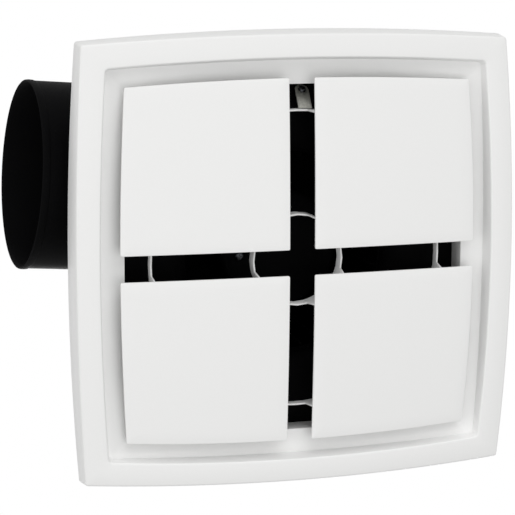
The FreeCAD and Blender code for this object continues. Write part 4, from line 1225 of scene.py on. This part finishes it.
def flap_disc(bm):
    """Thin disc with a rolled rim, a hub along the pin and two stiffening beads."""
    rim_break = 0.6
    middle = Matrix.Translation((FLAP_PLACE, 0.0, 0.0))
    disc = rod(FLAP_RADIUS, FLAP_THICKNESS / 2, rim_break)
    lathe(bm, disc, segments=96, matrix=leaned() @ middle @ ALONG_X, closed=False)
    across = Matrix.Rotation(math.radians(-90), 4, "X")
    pin = Matrix.Translation((FLAP_PLACE, 0.0, FLAP_PIVOT))
    hub = rod(FLAP_HUB_RADIUS, FLAP_HUB_HALF, WALL_BREAK)
    lathe(bm, hub, segments=24, matrix=leaned() @ pin @ across, closed=False)
    for side in (-1, 1):
        place = FLAP_BEAD_PLACE * side
        low = (FLAP_PLACE - FLAP_BEAD_DEPTH, place - FLAP_BEAD_HALF, FLAP_BEAD_LOW)
        high = (FLAP_PLACE + FLAP_BEAD_DEPTH, place + FLAP_BEAD_HALF, FLAP_BEAD_HIGH)
        block(bm, low, high, leaned())


class FAN_OT_duct_outlet(bpy.types.Operator):
    """Builds the black duct spigot with its bead and flange, and the flap in it"""
    bl_idname = "fan.duct_outlet"
    bl_label = "Duct spigot and flap"

    def execute(self, context):
        settings = context.scene.fan_housing
        finish = matt_black(settings)
        bm = bmesh.new()
        spigot_tube(bm)
        spigot_flange(bm, settings.edge_round / MM)
        flap_stops(bm)
        piece(bm, "duct_spigot_moulding", "housing", ["duct_spigot"], finish)
        bm = bmesh.new()
        flap_disc(bm)
        piece(bm, "damper_flap_moulding", "damper", ["damper_flap"], finish)
        return {"FINISHED"}


# Electrical pieces

def terminal_box(bm):
    """Open box with rounded corners."""
    place = Matrix.Translation(BOX_PLACE)
    rim_break = 0.4
    outer = square(BOX_HALF, BOX_RADIUS)
    inner = square(BOX_HALF - BOX_WALL, BOX_RADIUS - BOX_WALL)
    rings = skin(bm, [level(outer, PLATE_TOP), level(outer, BOX_TOP), level(inner, BOX_TOP),
                      level(inner, PLATE_TOP + BOX_WALL)], place)
    soften(bm, rings[1] + rings[2], rim_break, segments=2)


def terminal_cover(bm, edge_round):
    """Cover with a shallow sunk panel in its middle."""
    place = Matrix.Translation(BOX_PLACE)
    slope, tighter = 0.6, 0.4
    outer = square(BOX_HALF, BOX_RADIUS)
    panel = square(COVER_PANEL_HALF, COVER_PANEL_RADIUS)
    sunk = square(COVER_PANEL_HALF - slope, COVER_PANEL_RADIUS - tighter)
    rings = skin(bm, [level(outer, BOX_TOP), level(outer, COVER_TOP), level(panel, COVER_TOP),
                      level(sunk, COVER_TOP - COVER_PANEL_DEPTH)], place)
    soften(bm, rings[1], edge_round, segments=3)


def cable_gland(bm):
    """Hexagon and dome nut, bored for the cable, with a stub through the wall of the box."""
    wall = Vector((BOX_PLACE.x - BOX_HALF, BOX_PLACE.y, GLAND_HEIGHT))
    matrix = aimed(wall, Vector((-1.0, 0.0, 0.0)))
    corners = [polar(GLAND_RADIUS, 60 * index, 0.0).xy for index in range(6)]
    corner_radius, bite, stub_reach = 0.8, 0.2, 3.0
    hexagon = polygon(corners, corner_radius)
    bore = same_bearings(hexagon, GLAND_BORE)
    height = GLAND_HEXAGON
    loops = [level(hexagon, 0.0), level(hexagon, height), level(bore, height), level(bore, 0.0)]
    rings = skin(bm, loops, matrix, closed=True)
    soften(bm, rings[0] + rings[1], WALL_BREAK, segments=2)
    dome = [(GLAND_BORE, height - bite), (GLAND_RADIUS - 1.0, height - bite),
            (GLAND_RADIUS - 1.0, height + 2.0), (GLAND_RADIUS - 1.8, GLAND_LENGTH - 2.4),
            (GLAND_RADIUS - 3.0, GLAND_LENGTH - 0.6), (GLAND_RADIUS - 3.8, GLAND_LENGTH),
            (GLAND_BORE + 0.6, GLAND_LENGTH), (GLAND_BORE, GLAND_LENGTH - 0.8)]
    lathe(bm, dome, segments=48, matrix=matrix)
    low = -BOX_WALL - stub_reach
    stub = [(GLAND_BORE, low), (GLAND_STUB, low), (GLAND_STUB, bite), (GLAND_BORE, bite)]
    lathe(bm, stub, segments=48, matrix=matrix)


def capacitor_can(bm):
    """Can with a rolled top edge and two blade terminals."""
    place = Matrix.Translation(CAPACITOR_PLACE)
    radius, foot, top = CAPACITOR_RADIUS, PLATE_TOP, CAPACITOR_TOP
    profile = [(0.0, foot), (radius - 1.5, foot), (radius - 0.4, foot + 0.5), (radius, foot + 1.5),
               (radius, top - 1.4), (radius - 0.4, top - 0.4), (radius - 1.2, top), (radius - 2.0, top - 0.4),
               (radius - 2.4, top - 1.4), (0.0, top - 1.4)]
    lathe(bm, profile, segments=64, matrix=place, closed=False)
    sunk = 2.0
    for side in (-1, 1):
        middle = Vector((BLADE_PLACE * side, 0.0))
        low, high = middle - BLADE_HALF, middle + BLADE_HALF
        block(bm, (low.x, low.y, top - sunk), (high.x, high.y, top + BLADE_RISE), place)


def capacitor_clamp(bm):
    """Strap round the can with a foot on the tray."""
    place = Matrix.Translation(CAPACITOR_PLACE)
    gap, bite = 0.05, 0.5
    inner, outer = CAPACITOR_RADIUS + gap, CAPACITOR_RADIUS + CLAMP_WALL
    band = [(inner, PLATE_TOP), (outer, PLATE_TOP), (outer, CLAMP_TOP), (inner, CLAMP_TOP)]
    lathe(bm, band, segments=64, matrix=place)
    half, start, end = CLAMP_FOOT_HALF, inner + bite, CAPACITOR_RADIUS + CLAMP_FOOT_REACH
    corners = [Vector((start, -half)), Vector((end, -half)), Vector((end, half)), Vector((start, half))]
    foot = polygon(corners, CLAMP_FOOT_RADIUS)
    turn = place @ Matrix.Rotation(math.radians(-45), 4, "Z")
    skin(bm, [level(foot, PLATE_TOP), level(foot, PLATE_TOP + CLAMP_WALL)], turn)


class FAN_OT_electrics(bpy.types.Operator):
    """Builds the terminal box, its cover and gland, the capacitor and its clamp"""
    bl_idname = "fan.electrics"
    bl_label = "Terminal box and capacitor"

    def execute(self, context):
        settings = context.scene.fan_housing
        # The terminal box and its cover take the paler copy of the black, which is painted light
        black = casing_black(settings)
        bm = bmesh.new()
        terminal_box(bm)
        piece(bm, "terminal_box_moulding", "housing", ["terminal_box"], black)
        bm = bmesh.new()
        terminal_cover(bm, settings.edge_round / MM)
        piece(bm, "terminal_cover_moulding", "housing", ["terminal_cover"], black)
        bm = bmesh.new()
        cable_gland(bm)
        piece(bm, "cable_gland_set", "housing", ["cable_gland"], grey_nylon())
        bm = bmesh.new()
        capacitor_can(bm)
        can = finish_for("capacitor_can", moulded_plastic, "capacitor_plastic", "C9C9C4", "D3D3CE")
        piece(bm, "capacitor_body", "housing", ["capacitor"], can)
        bm = bmesh.new()
        capacitor_clamp(bm)
        soften_sharp(bm, THIN_BREAK)
        piece(bm, "capacitor_clamp_strap", "housing", ["capacitor_clamp"], bright_zinc())
        return {"FINISHED"}


# Screws

def cross_reach(half, length):
    """Distance to the edge of a cross with arms of a half width and a length, on a bearing."""
    def reach(bearing):
        least = 1e-6
        across = max(abs(math.cos(bearing)), least)
        along = max(abs(math.sin(bearing)), least)
        return max(min(half / across, length / along), min(length / across, half / along))
    return reach


def screw(bm, matrix, length, shank, head):
    """Pan-head screw: the head's seat is at height 0, its cross recess below, the shank above."""
    around = circle(1.0, 24)
    point, point_length = shank * 0.4, 1.2
    profile = [(point, length), (shank, length - point_length), (shank, 0.0), (head - 0.2, 0.0),
               (head, -0.25), (head, -1.0), (head - 0.35, -1.6), (head - 0.9, -2.1),
               (head - 1.3, -HEAD_HEIGHT)]
    loops = [level([place * radius for place in around], height) for radius, height in profile]
    recess_mouth = cross_reach(half=0.5, length=head - 1.6)
    recess_floor = cross_reach(half=0.3, length=head - 2.2)
    floor_height = -0.9
    loops.append(level(same_bearings(around, recess_mouth), -HEAD_HEIGHT))
    loops.append(level(same_bearings(around, recess_floor), floor_height))
    skin(bm, loops, matrix)


def seats(places, direction):
    """Matrices at places, each with its Z axis along the way a screw is driven."""
    return [aimed(place, direction) for place in places]


def screw_sets():
    """Name, body, node, seats, shank length, shank radius and head radius of each set of screws."""
    grille = [Vector((POST_PLACE * x, POST_PLACE * y, RECESS_FLOOR + FRAME_WALL)) for x, y in CORNERS]
    clip = [clip_matrix(angle) @ Matrix.Translation((CLIP_SCREW_ALONG, 0.0, 0.0)) for angle in CLIP_ANGLES]
    casing = [place + Vector((0.0, 0.0, PLATE_TOP + LIP_THICKNESS)) for place in casing_screw_places()]
    cover = [place + Vector((0.0, 0.0, CASING_TOP)) for place in cover_screw_places()]
    reach = SPIGOT_SCREW_PLACE
    spigot = [OUTLET @ Vector((SPIGOT_FLANGE, reach * y, reach * z)) for y, z in CORNERS]
    inwards = OUTLET.to_3x3() @ Vector((-1.0, 0.0, 0.0))
    hub = [polar(HUB_SCREW_RADIUS, HUB_SCREW_ANGLE + 90 * index, CUP_FACE) for index in range(4)]
    motor = [polar(MOTOR_SCREW_RADIUS, 45 + 90 * index, WELL_FLOOR_TOP) for index in range(4)]
    reach = LID_SCREW_PLACE
    lid = [BOX_PLACE + Vector((reach * side, reach * side, COVER_TOP)) for side in (1, -1)]
    reach = FOOT_SCREW_PLACE
    foot = [BOX_PLACE + Vector((reach * side, -reach * side, PLATE_TOP + BOX_WALL)) for side in (1, -1)]
    reach = (CAPACITOR_RADIUS + CLAMP_SCREW_REACH) * math.sqrt(0.5)
    clamp = [CAPACITOR_PLACE + Vector((reach, -reach, PLATE_TOP + CLAMP_WALL))]
    tapping, machine, head = TAPPING_SHANK, MACHINE_SHANK, HEAD_RADIUS
    return (
        ("grille_screw_set", "fascia", "grille_screws", seats(grille, DOWN), 8.4, tapping, head),
        ("clip_screw_set", "housing", "clip_screws", clip, 5.0, tapping, CLIP_SCREW_HEAD),
        ("casing_screw_set", "housing", "casing_screws", seats(casing, DOWN), 6.5, tapping, head),
        ("cover_screw_set", "housing", "cover_screws", seats(cover, DOWN), 11.0, tapping, head),
        ("spigot_screw_set", "housing", "spigot_screws", seats(spigot, inwards), 5.8, tapping, head),
        ("hub_screw_set", "rotor", "hub_screws", seats(hub, UP), 6.4, machine, head),
        ("motor_screw_set", "housing", "motor_screws", seats(motor, DOWN), 9.0, machine, head),
        ("terminal_screw_set", "housing", "terminal_screws", seats(lid + foot, DOWN), 5.0, tapping, head),
        ("clamp_screw_pan", "housing", "clamp_screw", seats(clamp, DOWN), 4.2, tapping, head),
    )


class FAN_OT_screws(bpy.types.Operator):
    """Builds every set of zinc-plated screws"""
    bl_idname = "fan.screws"
    bl_label = "Screws"

    def execute(self, context):
        for name, body, node, places, length, shank, head in screw_sets():
            bm = bmesh.new()
            for place in places:
                screw(bm, place, length, shank, head)
            # Screws deep behind the grille take the darker zinc, which is painted shade
            finish = dark_zinc() if node in BEHIND_GRILLE else bright_zinc()
            piece(bm, name, body, [node], finish)
        return {"FINISHED"}


# Impeller and motor

def impeller_hub(bm):
    """Deep cup over the motor with a rounded, closed face, and the backplate round its rear."""
    steps, flat, turn_round = 5, 8.0, CUP_FACE_ROUND
    back = BACKPLATE_BOTTOM + BACKPLATE_THICKNESS
    inner = CUP_RADIUS - CUP_WALL
    profile = [(0.0, CUP_FACE), (flat, CUP_FACE)]
    for step in range(steps + 1):
        angle = math.pi / 2 * step / steps
        profile.append((CUP_RADIUS - turn_round * (1 - math.sin(angle)),
                        CUP_FACE + turn_round * (1 - math.cos(angle))))
    profile += [(CUP_RADIUS, BACKPLATE_BOTTOM - 2.0), (CUP_RADIUS + 0.6, BACKPLATE_BOTTOM - 0.6),
                (CUP_RADIUS + 2.0, BACKPLATE_BOTTOM), (IMPELLER_RADIUS, BACKPLATE_BOTTOM),
                (IMPELLER_RADIUS, back), (inner, back), (inner, CUP_FACE + CUP_WALL),
                (0.0, CUP_FACE + CUP_WALL)]
    lathe(bm, profile, segments=96, closed=False)


class FAN_OT_impeller(bpy.types.Operator):
    """Builds the impeller's hub and gives its blades and ring their finish"""
    bl_idname = "fan.impeller"
    bl_label = "Impeller"

    def execute(self, context):
        black = matt_black(context.scene.fan_housing)
        bm = bmesh.new()
        impeller_hub(bm)
        piece(bm, "impeller_hub_moulding", "rotor", ["impeller_hub"], black)
        dress({"impeller_blades": black, "impeller_ring": black})
        return {"FINISHED"}


def dress(finish_of):
    """Gives pieces of the frame their finishes."""
    for node, finish in finish_of.items():
        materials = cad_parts[node].data.materials
        materials.clear()
        materials.append(finish)


class FAN_OT_motor(bpy.types.Operator):
    """Gives the motor's pieces, the flap's pin and the terminals their finishes"""
    bl_idname = "fan.motor"
    bl_label = "Motor finishes"

    def execute(self, context):
        steel = finish_for("turned_steel", turned_steel)
        dress({
            "damper_pin": bright_zinc(),
            "rotor_can": steel, "motor_shaft": steel, "bearing_lower": steel, "bearing_upper": steel,
            "shaft_circlip": finish_for("spring_steel", spring_steel),
            "stator_mount": finish_for("cast_aluminium", cast_aluminium),
            "stator_core": finish_for("lamination_steel", lamination_steel),
            "stator_winding": finish_for("copper_winding", copper_winding),
            "terminal_block": grey_nylon(),
        })
        return {"FINISHED"}


# Studio

def area_lamp(name, place, size, power):
    """Soft round lamp aimed at the fan."""
    light = bpy.data.lights.new(name, "AREA")
    light.shape = "DISK"
    light.size = size
    light.energy = power
    lamp = bpy.data.objects.new(name, light)
    lamp.location = place
    lamp.rotation_mode = "QUATERNION"
    lamp.rotation_quaternion = (-place).to_track_quat("-Z", "Y")
    lamp.visible_camera = False
    bpy.context.scene.collection.objects.link(lamp)


def overhead_light(strength):
    """Even light on the housing's top, at about the level that the lamps give the fascia."""
    light = bpy.data.lights.new("overhead_light", "SUN")
    light.energy = strength
    light.angle = OVERHEAD_SPREAD
    lamp = bpy.data.objects.new("overhead_light", light)
    lamp.rotation_mode = "QUATERNION"
    lamp.rotation_quaternion = (-OVERHEAD).to_track_quat("-Z", "Y")
    bpy.context.scene.collection.objects.link(lamp)


def studio_world(scene, ambient):
    """Even white surroundings, seen as white by the camera and in reflections and dimmer as light."""
    world = bpy.data.worlds.new("studio")
    world.use_nodes = True
    scene.world = world
    tree = world.node_tree
    rays = add_node(tree, "ShaderNodeLightPath").outputs
    seen = add_node(tree, "ShaderNodeMath", links={0: rays["Is Camera Ray"], 1: rays["Is Glossy Ray"]},
                    operation="MAXIMUM").outputs["Value"]
    seen = add_node(tree, "ShaderNodeMath", links={0: seen, 1: rays["Is Transmission Ray"]},
                    operation="MAXIMUM").outputs["Value"]
    strength = add_node(tree, "ShaderNodeMapRange", {"To Min": ambient, "To Max": 1.0}, {"Value": seen})
    background = tree.nodes["Background"]
    background.inputs["Color"].default_value = (1.0, 1.0, 1.0, 1.0)
    tree.links.new(strength.outputs["Result"], background.inputs["Strength"])


def studio_camera(scene):
    """Camera at the photograph's place and angle."""
    back = CAMERA_RIGHT.cross(CAMERA_UP)
    data = bpy.data.cameras.new("photo_camera")
    data.lens = CAMERA_LENS
    data.sensor_width = CAMERA_SENSOR
    camera = bpy.data.objects.new("photo_camera", data)
    turn = Matrix((CAMERA_RIGHT, CAMERA_UP, back)).transposed().to_4x4()
    camera.matrix_world = Matrix.Translation(CAMERA_PLACE * MM) @ turn
    scene.collection.objects.link(camera)
    scene.camera = camera


class FAN_OT_studio(bpy.types.Operator):
    """Builds the floor, lamps, surroundings and camera"""
    bl_idname = "fan.studio"
    bl_label = "Studio"

    def execute(self, context):
        scene = context.scene
        settings = scene.fan_studio
        bm = bmesh.new()
        place = Matrix.Translation((0.0, 0.0, -settings.floor_drop))
        bmesh.ops.create_grid(bm, x_segments=4, y_segments=4, size=FLOOR_HALF, matrix=place)
        mesh = bpy.data.meshes.new("studio_floor")
        bm.to_mesh(mesh)
        bm.free()
        mesh.materials.append(floor_paint())
        floor = bpy.data.objects.new("studio_floor", mesh)
        scene.collection.objects.link(floor)
        # The floor is seen but throws no light back, so that lamps and surroundings alone light the fascia
        floor.visible_diffuse = False
        for name, direction, distance, size in LAMPS:
            power = getattr(settings, name + "_power")
            area_lamp(name + "_lamp", Vector(direction).normalized() * distance, size, power)
        overhead_light(settings.overhead_strength)
        studio_world(scene, settings.ambient)
        studio_camera(scene)
        scene.view_settings.view_transform = "Standard"
        return {"FINISHED"}


# Settings, panel and registration

class FasciaSettings(bpy.types.PropertyGroup):
    """Edges and colour of the white fascia"""
    edge_round: FloatProperty(name="Edge round", description="Radius along the surround's outer edge",
                              default=1.5 * MM, min=0.0, unit="LENGTH")
    recess_round: FloatProperty(name="Channel round",
                                description="Radius where the front turns into the channel",
                                default=1.5 * MM, min=0.0, unit="LENGTH")
    panel_round: FloatProperty(name="Panel round", description="Radius along the panels' front edges",
                               default=0.5 * MM, min=0.0, unit="LENGTH")
    colour: FloatVectorProperty(name="Fascia colour", description="Colour of the white plastic",
                                subtype="COLOR", size=4, min=0.0, max=1.0, default=linear("F4F4F3"))


class HousingSettings(bpy.types.PropertyGroup):
    """Edges and colour of the black housing"""
    edge_round: FloatProperty(name="Edge round", description="Radius along the housing's outer edges",
                              default=0.6 * MM, min=0.0, unit="LENGTH")
    colour: FloatVectorProperty(name="Housing colour", description="Colour of the black plastic",
                                subtype="COLOR", size=4, min=0.0, max=1.0, default=linear("0A0A0B"))


class StudioSettings(bpy.types.PropertyGroup):
    """Floor and light of the studio"""
    floor_drop: FloatProperty(name="Floor drop", description="Height of the ceiling face above the floor",
                              default=5.5, min=0.5, unit="LENGTH")
    ambient: FloatProperty(name="Surroundings", description="Strength of the even light from all round",
                           default=0.41, min=0.0)
    front_power: FloatProperty(name="Front lamp", description="Lamp below the fascia",
                               default=60.0, min=0.0, unit="POWER")
    side_power: FloatProperty(name="Side lamp", description="Lamp on the outlet's side",
                              default=68.0, min=0.0, unit="POWER")
    back_power: FloatProperty(name="Back lamp", description="Lamp beyond the fascia's upper edge",
                              default=104.0, min=0.0, unit="POWER")
    overhead_strength: FloatProperty(name="Light from above",
                                     description="Strength of the even light from above",
                                     default=2.0, min=0.0)


STEPS = ("fascia_frame", "grille", "inlet_tray", "retaining_clips", "scroll_casing", "duct_outlet",
         "electrics", "screws", "impeller", "motor", "studio")


class FAN_PT_sidebar(bpy.types.Panel):
    """Lists the fan's settings and the steps that build it"""
    bl_idname = "FAN_PT_sidebar"
    bl_label = "Ceiling exhaust fan"
    bl_space_type = "VIEW_3D"
    bl_region_type = "UI"
    bl_category = "Exhaust fan"

    def draw(self, context):
        layout = self.layout
        for group in (context.scene.fan_fascia, context.scene.fan_housing, context.scene.fan_studio):
            column = layout.column(align=True)
            for name in type(group).__annotations__:
                column.prop(group, name)
        for step in STEPS:
            layout.operator("fan." + step)


CLASSES = (
    FasciaSettings, HousingSettings, StudioSettings,
    FAN_OT_fascia_frame, FAN_OT_grille, FAN_OT_inlet_tray, FAN_OT_retaining_clips, FAN_OT_scroll_casing,
    FAN_OT_duct_outlet, FAN_OT_electrics, FAN_OT_screws, FAN_OT_impeller, FAN_OT_motor, FAN_OT_studio,
    FAN_PT_sidebar,
)


def register():
    for cls in CLASSES:
        bpy.utils.register_class(cls)
    bpy.types.Scene.fan_fascia = PointerProperty(type=FasciaSettings)
    bpy.types.Scene.fan_housing = PointerProperty(type=HousingSettings)
    bpy.types.Scene.fan_studio = PointerProperty(type=StudioSettings)


def unregister():
    del bpy.types.Scene.fan_studio
    del bpy.types.Scene.fan_housing
    del bpy.types.Scene.fan_fascia
    for cls in reversed(CLASSES):
        bpy.utils.unregister_class(cls)


def main():
    register()
    for step in STEPS:
        getattr(bpy.ops.fan, step)()


if __name__ == "__main__":
    main()
